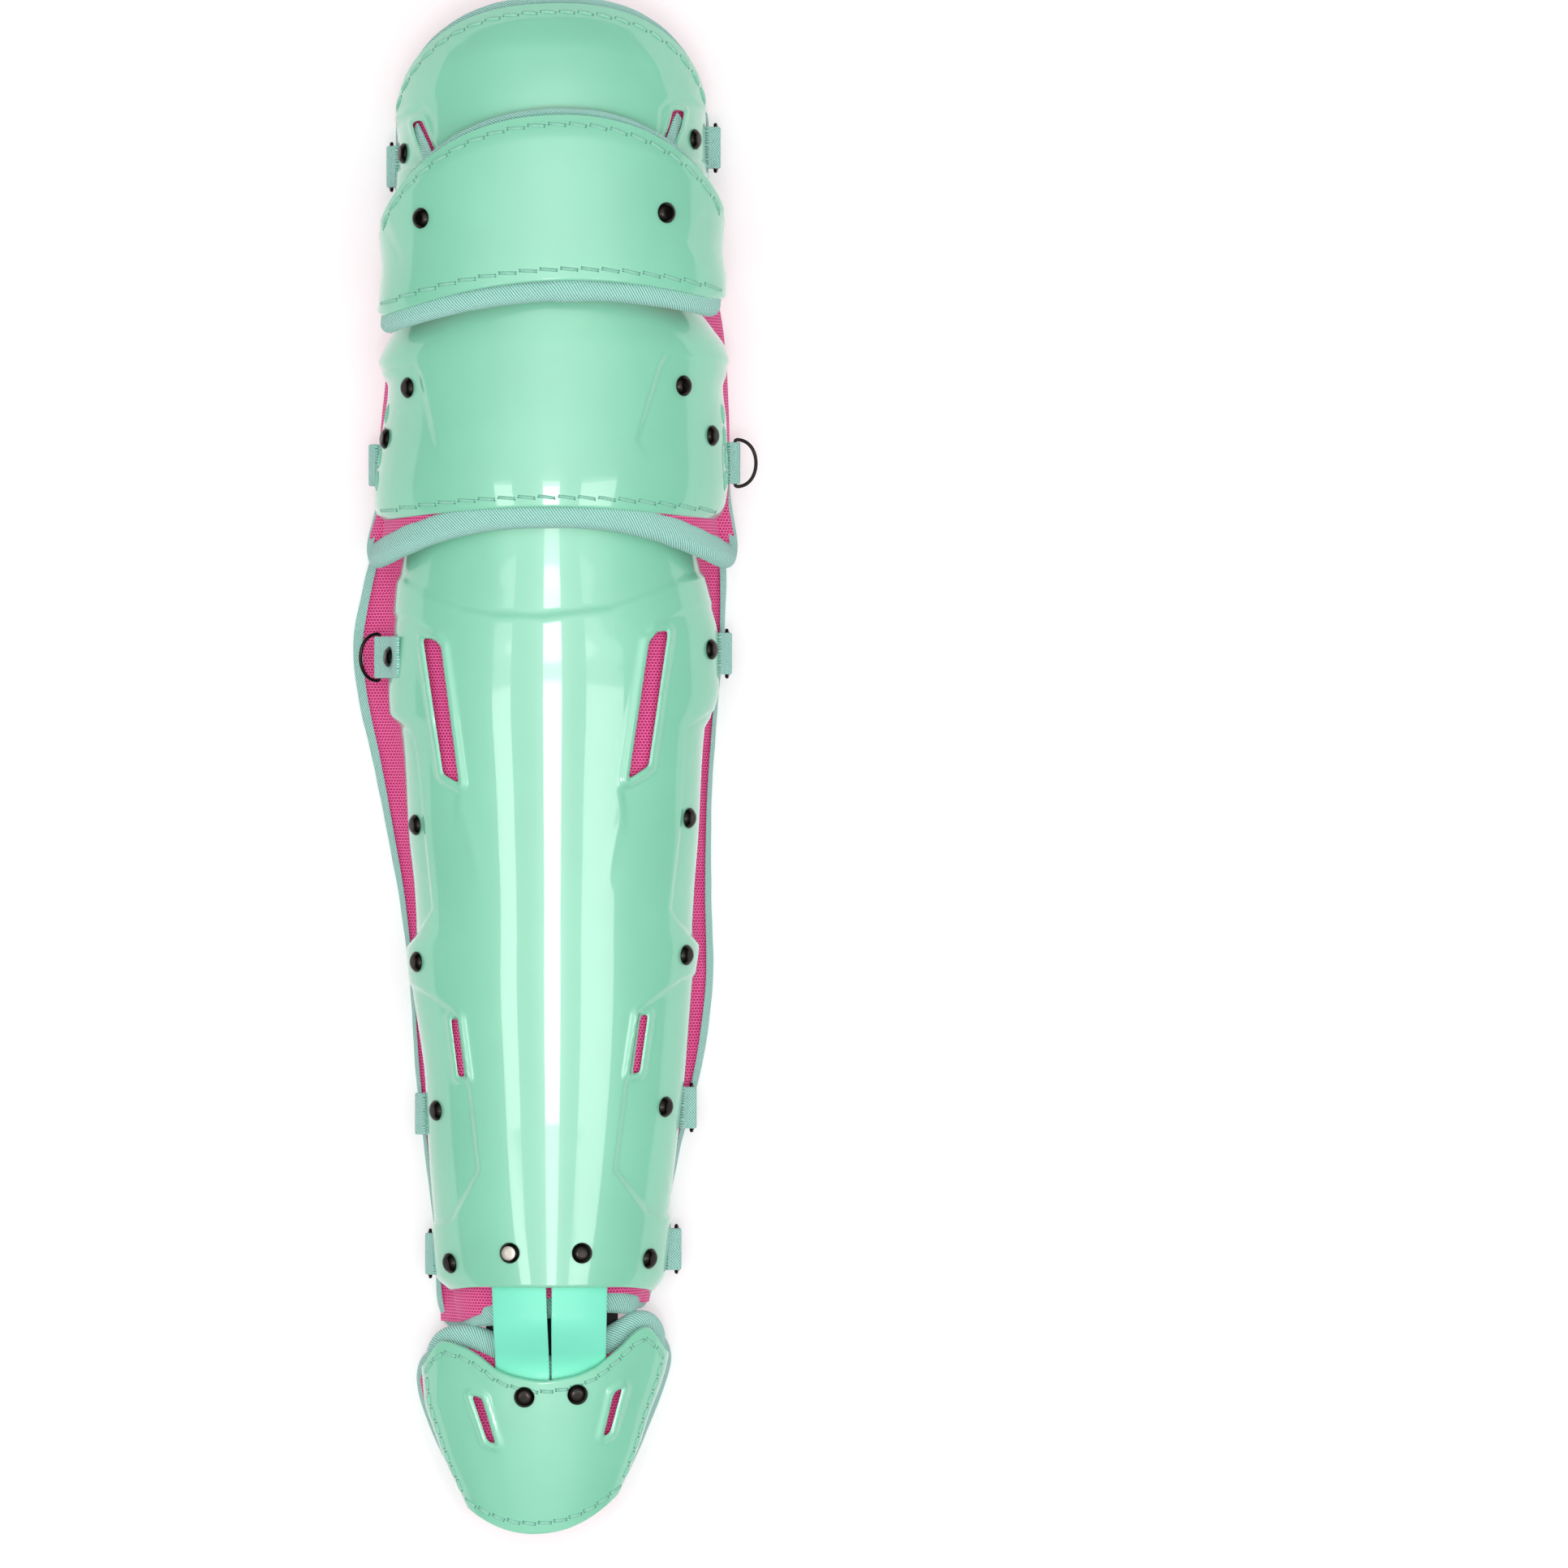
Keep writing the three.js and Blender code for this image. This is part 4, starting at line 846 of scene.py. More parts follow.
def shinHeights(x, y):
    kit = shinRelief
    height = sunk(kit["upperField"], kit["upperDepth"], kit["upperWidth"], x, y)
    for outline in kit["edgeFields"]:
        height += sunk(outline, kit["edgeDepth"], kit["edgeWidth"], x, y)
    aboveFade = easing((y - kit["sideFrom"]) / kit["sideFade"])
    for outline in kit["sideFields"]:
        height += sunk(outline, kit["sideDepth"], kit["sideWidth"], x, y) * aboveFade
    for outline in kit["lowerFields"]:
        towardEdge = easing((72 - np.abs(x) - 0.06 * (200 - y)) / 22)
        height += sunk(outline, kit["lowerDepth"], kit["lowerWidth"], x, y) * (0.35 + 0.65 * towardEdge)
    for outline in kit["slots"]:
        height += lip(outline, kit["lipHeight"], kit["lipWidth"], x, y)
    fadeIn = easing((y - kit["creaseFrom"]) / kit["creaseIn"])
    fadeOut = easing((kit["creaseTo"] - y) / kit["creaseOut"])
    for path in kit["creases"]:
        height += crease(path, kit["creaseDepth"], kit["creaseWidth"], x, y) * fadeIn * fadeOut
    return height


lowerRelief = {
    "sideFields": (
        traced((400, 452), (512, 452), (519, 467), (545, 576), (520, 604), (400, 610)),
        traced((960, 447), (884, 449), (823, 440), (815, 455), (787, 546), (812, 590), (960, 600)),
    ),
    "depth": 1.3, "width": 3.2, "fadeFrom": 18, "fadeOver": 26, "bottomDepth": 1.3, "bottomReach": 34,
}


def lowerHeights(x, y):
    across = x / lowerShell["half"]
    above = y - bottomAt(lowerShell, across)
    fade = easing((above - lowerRelief["fadeFrom"]) / lowerRelief["fadeOver"])
    height = -lowerRelief["bottomDepth"] * (1 - np.clip(above / lowerRelief["bottomReach"], 0, 1)) ** 2
    for outline in lowerRelief["sideFields"]:
        height += sunk(outline, lowerRelief["depth"], lowerRelief["width"], x, y) * fade
    return height


kneeRelief = {
    "fields": (
        traced((430, 276), (478, 280), (500, 323), (488, 400), (430, 410)),
        traced((920, 262), (871, 265), (861, 282), (853, 305), (884, 352), (900, 400), (920, 410)),
    ),
    "depth": 0.9, "width": 5.0, "fadeFrom": 6, "fadeOver": 18,
}


def kneeHeights(x, y):
    height = 0 * x
    above = y - bottomAt(kneeShell, x / kneeShell["half"])
    fade = easing((above - kneeRelief["fadeFrom"]) / kneeRelief["fadeOver"])
    for outline in kneeRelief["fields"]:
        height += sunk(outline, kneeRelief["depth"], kneeRelief["width"], x, y) * fade
    return height


thighRelief = {
    "fields": (
        traced((440, 160), (488, 149), (501, 142), (521, 132), (537, 150), (541, 205), (440, 215)),
        traced((920, 142), (872, 135), (850, 124), (832, 124), (815, 140), (812, 196), (920, 205)),
    ),
    "depth": 0.9, "width": 2.6, "lipHeight": 0.7, "lipWidth": 2.4, "creaseDepth": 0.45, "creaseWidth": 3.2,
    "creaseFrom": 631, "creaseTo": 665, "creaseIn": 10, "creaseOut": 14,
    "slots": (
        traced((509, 154), (521, 151), (529, 168), (539, 191), (525, 196), (516, 177)),
        traced((830, 139), (844, 140), (840, 160), (831, 184), (817, 181), (825, 160)),
    ),
    "creases": (
        traced((559, 50), (543, 100), (533, 126)),
        traced((785, 50), (808, 86), (823, 123)),
    ),
}


def thighHeights(x, y):
    height = 0 * x
    for outline in thighRelief["fields"]:
        height += sunk(outline, thighRelief["depth"], thighRelief["width"], x, y)
    for outline in thighRelief["slots"]:
        height += lip(outline, thighRelief["lipHeight"], thighRelief["lipWidth"], x, y)
    fadeIn = easing((y - thighRelief["creaseFrom"]) / thighRelief["creaseIn"])
    fadeOut = easing((thighRelief["creaseTo"] - y) / thighRelief["creaseOut"])
    for path in thighRelief["creases"]:
        fold = crease(path, thighRelief["creaseDepth"], thighRelief["creaseWidth"], x, y)
        height += fold * fadeIn * fadeOut
    return height


toeRelief = {
    "slots": (
        traced((582, 1718), (594, 1721), (611, 1778), (601, 1774)),
        traced((767, 1709), (757, 1715), (744, 1769), (752, 1764)),
    ),
    "lipHeight": 0.9, "lipWidth": 2.8,
}


def toeHeights(x, y):
    height = 0 * x
    for outline in toeRelief["slots"]:
        height += lip(outline, toeRelief["lipHeight"], toeRelief["lipWidth"], x, y)
    return height


shells = {
    "thigh_cap": {
        "piece": thighShell, "heights": thighHeights, "slots": thighRelief["slots"], "grid": (121, 199),
    },
    "knee_cap": {"piece": kneeShell, "heights": kneeHeights, "slots": (), "grid": (121, 211)},
    "lower_cap": {"piece": lowerShell, "heights": lowerHeights, "slots": (), "grid": (121, 211)},
    "shin_plate": {
        "piece": shinShell, "heights": shinHeights, "slots": shinRelief["slots"], "grid": (343, 211),
    },
    "toe_cap": {"piece": toeShell, "heights": toeHeights, "slots": toeRelief["slots"], "grid": (109, 151)},
}


# A place on a shell's outer face, seen from above at x and y, and its outward direction.
def onShell(name, x, y, lift=0.0):
    piece = shells[name]["piece"]
    u, v = locate(piece, x, y)
    normal = archNormal(piece, u, v)
    height = shells[name]["heights"](x, y) + lift
    return archPoint(piece, u, v) + normal * np.asarray(height)[..., None], normal


def cutSlots(shell, outlines):
    for outline in outlines:
        after = np.roll(outline, -1, axis=0)
        if np.sum(outline[:, 0] * after[:, 1] - outline[:, 1] * after[:, 0]) < 0:
            outline = outline[::-1]
        count = len(outline)
        low = [(x, y, 0) for x, y in outline]
        high = [(x, y, 1.3 * crownHeight) for x, y in outline]
        faces = endFaces(0, count, count) + wallFaces(0, count, count)
        knife = newObject("slot_knife", low + high, faces)
        cut = shell.modifiers.new("slot", "BOOLEAN")
        cut.operation = "DIFFERENCE"
        cut.solver = "MANIFOLD"
        cut.object = knife
        bpy.context.view_layer.update()
        cutMesh = bpy.data.meshes.new_from_object(shell.evaluated_get(bpy.context.evaluated_depsgraph_get()))
        shell.modifiers.clear()
        shell.data = cutMesh
        bpy.data.objects.remove(knife)
    shell.data.set_sharp_from_angle(angle=math.radians(40))


# An outline with each corner rounded off over a few millimetres.
def roundedOutline(outline, reach=1.9):
    points = []
    for before, corner, after in zip(np.roll(outline, 1, axis=0), outline, np.roll(outline, -1, axis=0)):
        back = min(reach, 0.45 * np.linalg.norm(before - corner))
        ahead = min(reach, 0.45 * np.linalg.norm(after - corner))
        first, last = corner + back * unit(before - corner), corner + ahead * unit(after - corner)
        for t in np.linspace(0, 1, 6):
            points.append((1 - t) ** 2 * first + 2 * t * (1 - t) * corner + t * t * last)
    return np.array(points)


for name, kit in shells.items():
    rows, columns = kit["grid"]
    v, u = np.meshgrid(np.linspace(0, 1, rows), np.linspace(-1, 1, columns), indexing="ij")
    bare = archPoint(kit["piece"], u, v)
    normal = archNormal(kit["piece"], u, v)
    height = kit["heights"](bare[..., 0], bare[..., 1])
    outer = bare + normal * height[..., None]
    inner = bare - normal * (shellThickness - 0.5 * np.minimum(height, 0))[..., None]
    span = np.stack((u * 90, v * kit["piece"]["long"]), -1)
    shellName = name.replace("_cap", "_shell").replace("_plate", "_shell")
    shell = closedSheet(shellName, outer, inner, span, plastic)
    if len(kit["slots"]):
        cutSlots(shell, [roundedOutline(outline) for outline in kit["slots"]])
    settle(shell, [name])
print("shells done")


# Pads and their bindings. Each binding stop: its share across, its share along and its radius.

def run(first, last, radius, across=None, along=None, count=8):
    steps = np.linspace(first, last, count)
    if across is None:
        return [(s, along, radius) for s in steps]
    return [(across, v, radius) for v in steps]


pads = {
    "thigh_pad": {
        "piece": thighPad, "binding": "thigh_binding", "closed": False, "puff": 0.4,
        "stops": run(0, 0.96, footRadius, across=2) + run(1.7, 1.2, 2.6, along=1, count=2)
        + run(1, -1, 2.6, along=1, count=40) + run(-1.2, -1.7, 2.6, along=1, count=2)
        + run(0.96, 0, footRadius, across=-2),
    },
    "knee_pad": {
        "piece": kneePad, "binding": "knee_binding", "closed": True, "puff": 0.2, "lap": 2.9,
        "stops": run(0.9, 0.15, 2, across=-2, count=3) + run(-1, 1, 3.5, along=0, count=36)
        + run(0.15, 0.9, 2, across=2, count=3) + run(1, -1, 2.6, along=1, count=36),
    },
    "lower_pad": {
        "piece": lowerPad, "binding": "lower_binding", "closed": False, "puff": 0.5,
        "stops": run(0.3, 0.04, 2.4, across=-1.9, count=4) + run(-1.5, -1.2, 3.4, along=0, count=2)
        + run(-1, 1, 4.4, along=0, count=40) + run(1.2, 1.5, 3.4, along=0, count=2)
        + run(0.04, 0.3, 2.4, across=1.9, count=4),
    },
    "shin_pad": {
        "piece": shinPad, "binding": "shin_binding", "closed": False, "puff": 0.7,
        "stops": run(1, 0.03, footRadius, across=-2, count=60) + run(-1.8, -0.95, 1.8, along=0, count=4)
        + [(-0.72, 0, 2.2)] + run(-0.5, 0.9, 3.6, along=0, count=20) + run(1.2, 1.8, 1.8, along=0, count=3)
        + run(0.03, 1, footRadius, across=2, count=60),
    },
    "toe_pad": {
        "piece": toePad, "binding": "toe_binding", "closed": False, "puff": 0.3,
        "stops": run(0.02, 0.9, 2.7, across=2) + run(1.5, 1.2, 3, along=1, count=2)
        + run(1, -1, 3.8, along=1, count=36) + run(-1.2, -1.5, 3, along=1, count=2)
        + run(0.9, 0.02, 2.7, across=-2),
    },
}
padGrids = {
    "thigh_pad": (61, 151), "knee_pad": (43, 121), "lower_pad": (85, 151), "shin_pad": (271, 151),
    "toe_pad": (49, 121),
}


# A binding's section: a round roll whose two hems grip the pad's faces.
def bindingSection():
    turns = np.radians(np.linspace(-90, 90, 13))
    roll = [(math.cos(turn), math.sin(turn)) for turn in turns]
    hem = [(-0.5, 1.0), (-1.1, 0.98), (-1.52, 0.95), (-1.6, 0.86), (-1.5, 0.76), (-1.0, 0.72), (-0.6, 0.5)]
    return np.array(roll + hem + [(x, -y) for x, y in reversed(hem)])


bindingStep = 1.6
lapOver = {"swell": 0.17, "length": 17, "fade": 10}  # where the knee's roll overlaps itself


def makeBinding(name, piece, stops, closed, lap=None):
    s, v, radius = np.array(stops).T
    places = (padPoint(piece, s, v, 0) + padPoint(piece, s, v, 1)) / 2
    upward = unit(padPoint(piece, s, v, 0) - padPoint(piece, s, v, 1))
    tangent = tangentsOf(places, closed)
    outward = unit(np.cross(tangent, upward))
    centres = places + outward * (0.75 * radius)[:, None]
    line = np.concatenate((centres, upward, radius[:, None]), axis=1)
    if closed:
        line = np.concatenate((line, line[:1]))
    line = spacedAlong(line, bindingStep)
    line = evened(line[:-1] if closed else line, closed, 8)
    centres, upward, radius = line[:, :3], line[:, 3:6], line[:, 6]
    tangent = tangentsOf(centres, closed)
    outward = unit(np.cross(tangent, upward))
    upward = unit(np.cross(outward, tangent))
    place = np.arange(len(centres)) * bindingStep
    wrinkle = 0.012 * np.sin(place / 5.3) + 0.018 * np.sin(place / 2.9 + 1.3 * np.sin(place / 17))
    if lap is not None:
        ahead = centres[:, 0] - lap
        low = centres[:, 1] < piece["low"] + 0.5 * piece["long"]
        swell = easing(ahead / 0.5) * easing((lapOver["length"] - ahead) / lapOver["fade"])
        wrinkle = wrinkle + lapOver["swell"] * swell * low
    return sweep(name, centres, outward, upward, bindingSection(), radius * (1 + wrinkle), closed, twill)


for name, kit in pads.items():
    rows, columns = padGrids[name]
    v, s = np.meshgrid(np.linspace(0, 1, rows), np.linspace(-2, 2, columns), indexing="ij")
    piece = kit["piece"]
    outer, inner = padPoint(piece, s, v, 0.0), padPoint(piece, s, v, 1.0)
    away = unit(outer - inner)
    wing = easing((np.abs(s) - 0.9) / 0.3) * easing((2 - np.abs(s)) / 0.2)
    wing = wing * easing(v / 0.05) * easing((1 - v) / 0.05)
    swell = np.sin(v * piece["long"] / 9 + 2 * s) + 0.6 * np.sin(v * piece["long"] / 4.1 + 5 * s)
    outer = outer + away * (kit["puff"] * wing * (1 + 0.5 * swell))[..., None]
    steps = np.linalg.norm(np.diff(outer, axis=1), axis=-1)
    girth = np.concatenate((np.zeros((rows, 1)), np.cumsum(steps, axis=1)), axis=1)
    cloth = np.stack((girth - girth[:, columns // 2][:, None], outer[..., 1]), -1)
    pad = closedSheet(name.replace("_pad", "_cushion"), outer, inner, cloth, airMesh, bulge=0.05)
    settle(pad, [name])
    binding = makeBinding(kit["binding"].replace("_binding", "_trim"), piece, kit["stops"], kit["closed"],
                          kit.get("lap"))
    settle(binding, [kit["binding"]])
print("pads done")


# Rivets: domed caps on shanks; places as shares of the piece's half width and of its side length.
rivets = {
    "thigh_cap": ((-0.946, 0.59), (0.925, 0.745)),
    "knee_cap": ((-0.735, 1.096), (0.656, 1.157)),
    "lower_cap": ((-0.805, 0.61), (-0.932, 0.383), (0.747, 0.617), (0.905, 0.394)),
    "shin_plate": (
        (-0.950, 0.830), (-0.812, 0.610), (-0.793, 0.431), (-0.697, 0.236), (-0.596, 0.037),
        (0.950, 0.840), (0.822, 0.619), (0.793, 0.440), (0.688, 0.241), (0.577, 0.043),
        (-0.240, 0.052), (0.183, 0.052),
    ),
    "toe_cap": ((-0.157, 0.755), (0.268, 0.773)),
}
# The cap's profile: radius as a share of rivetRadius, height in mm.
capProfile = ((0, 2.25), (0.3, 2.3), (0.62, 2.2), (0.7, 2.02), (0.86, 1.45), (0.97, 0.95),
              (1.02, 0.55), (1.0, 0.1), (0.9, -0.15), (0.44, -0.2), (0.42, -2.3), (0, -2.3))


# A domed rivet head: its profile turned round its direction.
def turnedCap(name, profile, place, direction, materials):
    facets = 40
    turns = np.arange(facets) * 2 * math.pi / facets
    aside = unit(np.cross(direction, (0.31, 0.95, 0.05)))
    across = np.cross(direction, aside)
    points, faces, rings = [], [], []
    for radius, height in profile:
        centre = place + direction * height
        if radius == 0:
            rings.append([len(points)])
            points.append(centre)
            continue
        rings.append(list(range(len(points), len(points) + facets)))
        points += list(centre + radius * (np.cos(turns)[:, None] * aside + np.sin(turns)[:, None] * across))
    for low, high in zip(rings[:-1], rings[1:]):
        for k in range(facets):
            after = (k + 1) % facets
            if len(low) == 1:
                faces.append((low[0], high[k], high[after]))
            elif len(high) == 1:
                faces.append((low[k], high[0], low[after]))
            else:
                faces.append((low[k], high[k], high[after], low[after]))
    return newObject(name, np.array(points), faces, None, materials, sharp=35)


for name, places in rivets.items():
    piece = shells[name]["piece"]
    for number, (across, along) in enumerate(places, 1):
        x = piece["middle"] + piece["half"] * across
        y = piece["low"] + piece["long"] * along
        lift = 1.7 if (name, number) == ("shin_plate", 1) else 0.15
        (place,), (direction,) = onShell(name, np.array([x]), np.array([y]), lift)
        profile = [(radius * rivetRadius, height) for radius, height in capProfile]
        worn = (name, number) == ("shin_plate", 11)
        cap = turnedCap(f"cap_{name}_{number}", profile, place, direction, (gunmetal, wornMetal))
        if worn:
            bareAbove = (place + frameShift) / 1000 + direction * 0.00195
            cap.data.polygons.foreach_set("material_index", [
                int((np.array(face.center) - bareAbove) @ direction > 0) for face in cap.data.polygons])
        settle(cap, [f"rivet_{name}_{number}"])
print("rivets done")


# Webbing loops at the rims and the wire rings in them, the same table as the solids'.
# A row: its piece, its side, its place along the piece, its slope and length, and the slope of its ring.
loops = (
    (thighShell, -1, 0.5, 62, 9, 84),
    (thighShell, 1, 0.64, 50, 9, 84),
    (lowerShell, -1, 0.265, 68, 8, None),
    (lowerShell, 1, 0.275, 52, 8, 10),
    (shinShell, -1, 0.83, 32, 9, 25),
    (shinShell, 1, 0.835, 55, 9, 84),
    (shinShell, -1, 0.231, 62, 8, None),
    (shinShell, 1, 0.239, 50, 9, 84),
    (shinShell, -1, 0.047, 62, 8, 84),
    (shinShell, 1, 0.053, 45, 9, 84),
)
eyeRadius = wireRadius + clearance
loopRadius = eyeRadius + webbingThickness
loopTuck = 0.9  # how far the webbing starts inside the rim
# One loop's webbing runs on over the shell's face.
overShell = {"loop": 5, "inner": -68, "beyond": 0.6, "count": 14, "lift": 0.85}


# A band of webbing: its line bends in one plane, and its width lies along the axis.
def makeBand(name, line, axis, width, thickness, material):
    line = evened(spacedAlong(line, 0.7), False, 3)
    tangent = tangentsOf(line)
    face = unit(np.cross(axis, tangent))
    half, edge = width / 2, thickness / 2
    turns = np.linspace(-math.pi / 2, math.pi / 2, 5)
    right = [(half - edge + edge * math.cos(turn), edge * math.sin(turn)) for turn in turns]
    flat = [(half * (1 - 2 * k / 12) * 0.96, edge) for k in range(1, 12)]
    section = np.array(right + flat + [(-x, -y) for x, y in right] + [(-x, -y) for x, y in flat])
    axes = np.broadcast_to(axis, face.shape)
    uv = np.stack(np.broadcast_arrays(distancesAlong(line)[:, None], section[None, :, 0] + 30), -1)
    return sweep(name, line, axes, face, section, np.ones(len(line)), False, material, uv)


def arc(centre, radius, first, last, count=14):
    turns = np.radians(np.linspace(first, last, count))
    return [(centre[0] + radius * math.cos(turn), centre[1] + radius * math.sin(turn)) for turn in turns]


def loopLine(length):
    middle = eyeRadius + webbingThickness / 2
    seam = webbingThickness / 2 + 0.04
    eye = (length - loopRadius, 0)
    return ([(0, -seam), (length - 2.3 * loopRadius, -seam)] + arc(eye, middle, -110, 110)
            + [(length - 2.3 * loopRadius, seam), (0, seam)])


def makeRing(name, bar, ringOut, ringUp):
    turns = np.linspace(0, math.pi, 40)
    bow = [(ringLength / 2 * math.cos(turn), ringReach * math.sin(turn) ** 0.8) for turn in turns]
    rod = [(y, 0) for y in np.linspace(-ringLength / 2, ringLength / 2, 20)[1:-1]]
    line = np.array(bow + rod)
    line = np.concatenate((line, line[:1]))
    line = evened(spacedAlong(line, 0.9)[:-1], True, 2)
    centres = bar + line[:, 1:] * ringOut + line[:, :1] * np.array((0, 1, 0))
    tangent = tangentsOf(centres, True)
    outward = unit(np.cross(tangent, ringUp))
    turns = np.arange(12) * math.pi / 6
    section = np.stack((np.cos(turns), np.sin(turns)), -1)
    upward = np.broadcast_to(ringUp, outward.shape)
    return sweep(name, centres, outward, upward, section, np.full(len(line), wireRadius), True, gunmetal)


for number, (piece, side, along, slope, length, ring) in enumerate(loops, 1):
    rim = archPoint(piece, float(side), along, smooth=False)
    turn = math.radians(slope)
    out = np.array((side * math.cos(turn), 0, -math.sin(turn)))
    up = np.array((side * math.sin(turn), 0, math.cos(turn)))
    start = rim + np.array((-side * loopTuck, 0, -webbingThickness * math.cos(turn) - clearance))
    line = np.array([start + out * a + up * b for a, b in loopLine(length)])
    if number == overShell["loop"]:
        x = np.linspace(overShell["inner"], rim[0] + overShell["beyond"], overShell["count"])
        over, facing = onShell("shin_plate", x, np.full(overShell["count"], rim[1]), overShell["lift"])
        over[:, 1] = rim[1]
        line = np.concatenate((line[:-2], over[::-1]))
    band = makeBand(f"webbing_{number}", line, np.array((0, 1.0, 0)), webbingWidth,
                    webbingThickness * 0.93, herringbone)
    settle(band, [f"loop_{number}"])
    if ring is None:
        continue
    bar = start + out * (length - loopRadius)
    ringTurn = math.radians(ring)
    ringOut = np.array((side * math.cos(ringTurn), 0, -math.sin(ringTurn)))
    ringUp = np.array((side * math.sin(ringTurn), 0, math.cos(ringTurn)))
    wire = makeRing(f"wire_ring_{number}", bar, ringOut, ringUp)
    settle(wire, [f"ring_{number}"], f"ring_{number}_body")
print("loops done")


# Flexible tabs, a dark sheet of painted shade in the ankle slit, and link straps.

def heightUnder(piece, x, y, depth):
    u, v = locate(piece, x, y)
    return archPoint(piece, u, v)[..., 2] - depth / np.maximum(archNormal(piece, u, v)[..., 2], 0.4)


tabTop, tabEnd, shinBottom, toeTop = 129, 59, 97, 70
tabs = {
    "flex_tab_1": {"topLeft": -26.6, "topRight": -3.0, "endLeft": -24.0, "endRight": -0.7},
    "flex_tab_2": {"topLeft": 0.8, "topRight": 25.0, "endLeft": 0.3, "endRight": 23.4},
}


def tabPoint(tab, u, v, side):
    y = tabEnd + (tabTop - tabEnd) * v
    left = tab["endLeft"] + (tab["topLeft"] - tab["endLeft"]) * v
    right = tab["endRight"] + (tab["topRight"] - tab["endRight"]) * v
    x = left + (right - left) * u
    under = shellThickness + 2.9 * clearance + side * tabThickness
    upper = heightUnder(shinShell, x, np.maximum(y, shinShell["low"] + 3), under)
    lower = heightUnder(toeShell, x, np.minimum(y, toeTop), under + 3.2 * clearance)
    share = easing((y - toeTop) / (shinBottom - toeTop))
    return np.stack((x, y, lower + (upper - lower) * share), -1)


for name, tab in tabs.items():
    v, u = np.meshgrid(np.linspace(0, 1, 61), np.linspace(0, 1, 31), indexing="ij")
    outer, inner = tabPoint(tab, u, v, 0), tabPoint(tab, u, v, 1)
    strip = closedSheet(name.replace("flex_tab", "flex_strip"), outer, inner, outer[..., :2], tabPlastic)
    settle(strip, [name])


# A dark sheet spans the slit between the two pads, from toeEnd to shinEnd, and is tucked under both: painted
# shade that makes the slit read dark.
slitShadeSizes = {
    "low": 56, "high": 112, "reach": 29, "toeEnd": 66, "shinEnd": 104, "thickness": 1.2,
    "underShin": shinPad["thickCrown"] + 0.6, "underToe": toePad["thickCrown"] + 2.7, "steps": 49,
}


def slitShadePoint(x, y, side):
    toeEnd, shinEnd, depth = slitShadeSizes["toeEnd"], slitShadeSizes["shinEnd"], side * slitShadeSizes["thickness"]
    upper = heightUnder(shinPad, x, np.maximum(y, shinEnd), slitShadeSizes["underShin"] + depth)
    lower = heightUnder(toePad, x, np.minimum(y, toeEnd), slitShadeSizes["underToe"] + depth)
    share = easing((y - toeEnd) / (shinEnd - toeEnd))
    return np.stack((x, y, lower + (upper - lower) * share), -1)


y, x = np.meshgrid(
    np.linspace(slitShadeSizes["low"], slitShadeSizes["high"], slitShadeSizes["steps"]),
    np.linspace(-slitShadeSizes["reach"], slitShadeSizes["reach"], slitShadeSizes["steps"]), indexing="ij")
slitShadeSheet = closedSheet("ankle_slit_shade", slitShadePoint(x, y, 0), slitShadePoint(x, y, 1), np.stack((x, y), -1),
                     slitShadeCloth)
settle(slitShadeSheet, ["ankle_lining"])

# Each link strap: its line from inside the slot to under the knee cap, with its lift over the shell.
links = {
    "link_strap_1": traced((508, 160), (513, 168), (518, 177), (524, 187), (532, 198), (542, 210)),
    "link_strap_2": traced((844, 147), (839, 157), (834, 168), (829, 178), (821, 190), (811, 201)),
}
linkLifts = (-2.2, -1.0, -0.2, 0.4, 0.8, 0.9)
linkWidth, linkThickness, linkStep = 5.4, 1.2, 0.6
for name, places in links.items():
    line, facing = onShell("thigh_cap", places[:, 0], places[:, 1], np.array(linkLifts))
    line = np.concatenate((line, facing), axis=1)
    line = evened(spacedAlong(line, linkStep), False, 3)
    tangent = tangentsOf(line[:, :3])
    aside = unit(np.cross(line[:, 3:], tangent))
    section = np.array([(x * linkWidth / 2, y * linkThickness / 2) for x, y in (
        (1, -0.6), (1.04, 0), (1, 0.6), (0.85, 1), (0.3, 1), (-0.3, 1), (-0.85, 1),
        (-1, 0.6), (-1.04, 0), (-1, -0.6), (-0.85, -1), (0.85, -1))])
    travelled = np.arange(len(line))[:, None] * linkStep
    uv = np.stack(np.broadcast_arrays(travelled, section[None, :, 0] + 30), -1)
    upward = unit(np.cross(tangent, aside))
    strap = sweep(name.replace("link_strap", "link_webbing"), line[:, :3], aside, upward, section,
                  np.ones(len(line)), False, herringbone, uv)
    settle(strap, [name])
print("tabs and straps done")


# Stitches: short raised threads between needle holes, following a line on a shell.

stitch = {
    "first": 0.06, "last": 0.9, "slant": -7, "sides": 6, "stations": 7, "radius": 0.72, "endRadius": 0.35,
    "rise": 0.5, "sunk": 0.25,
}
needleHole = {"sides": 8, "radius": 0.85, "lift": 0.2, "heights": (0.08, -0.5)}


# A ring of points around a centre.
def ringOf(centre, radius, sides, aside, upward):
    turns = np.arange(sides) * 2 * math.pi / sides
    return list(centre + radius * (np.cos(turns)[:, None] * aside + np.sin(turns)[:, None] * upward))


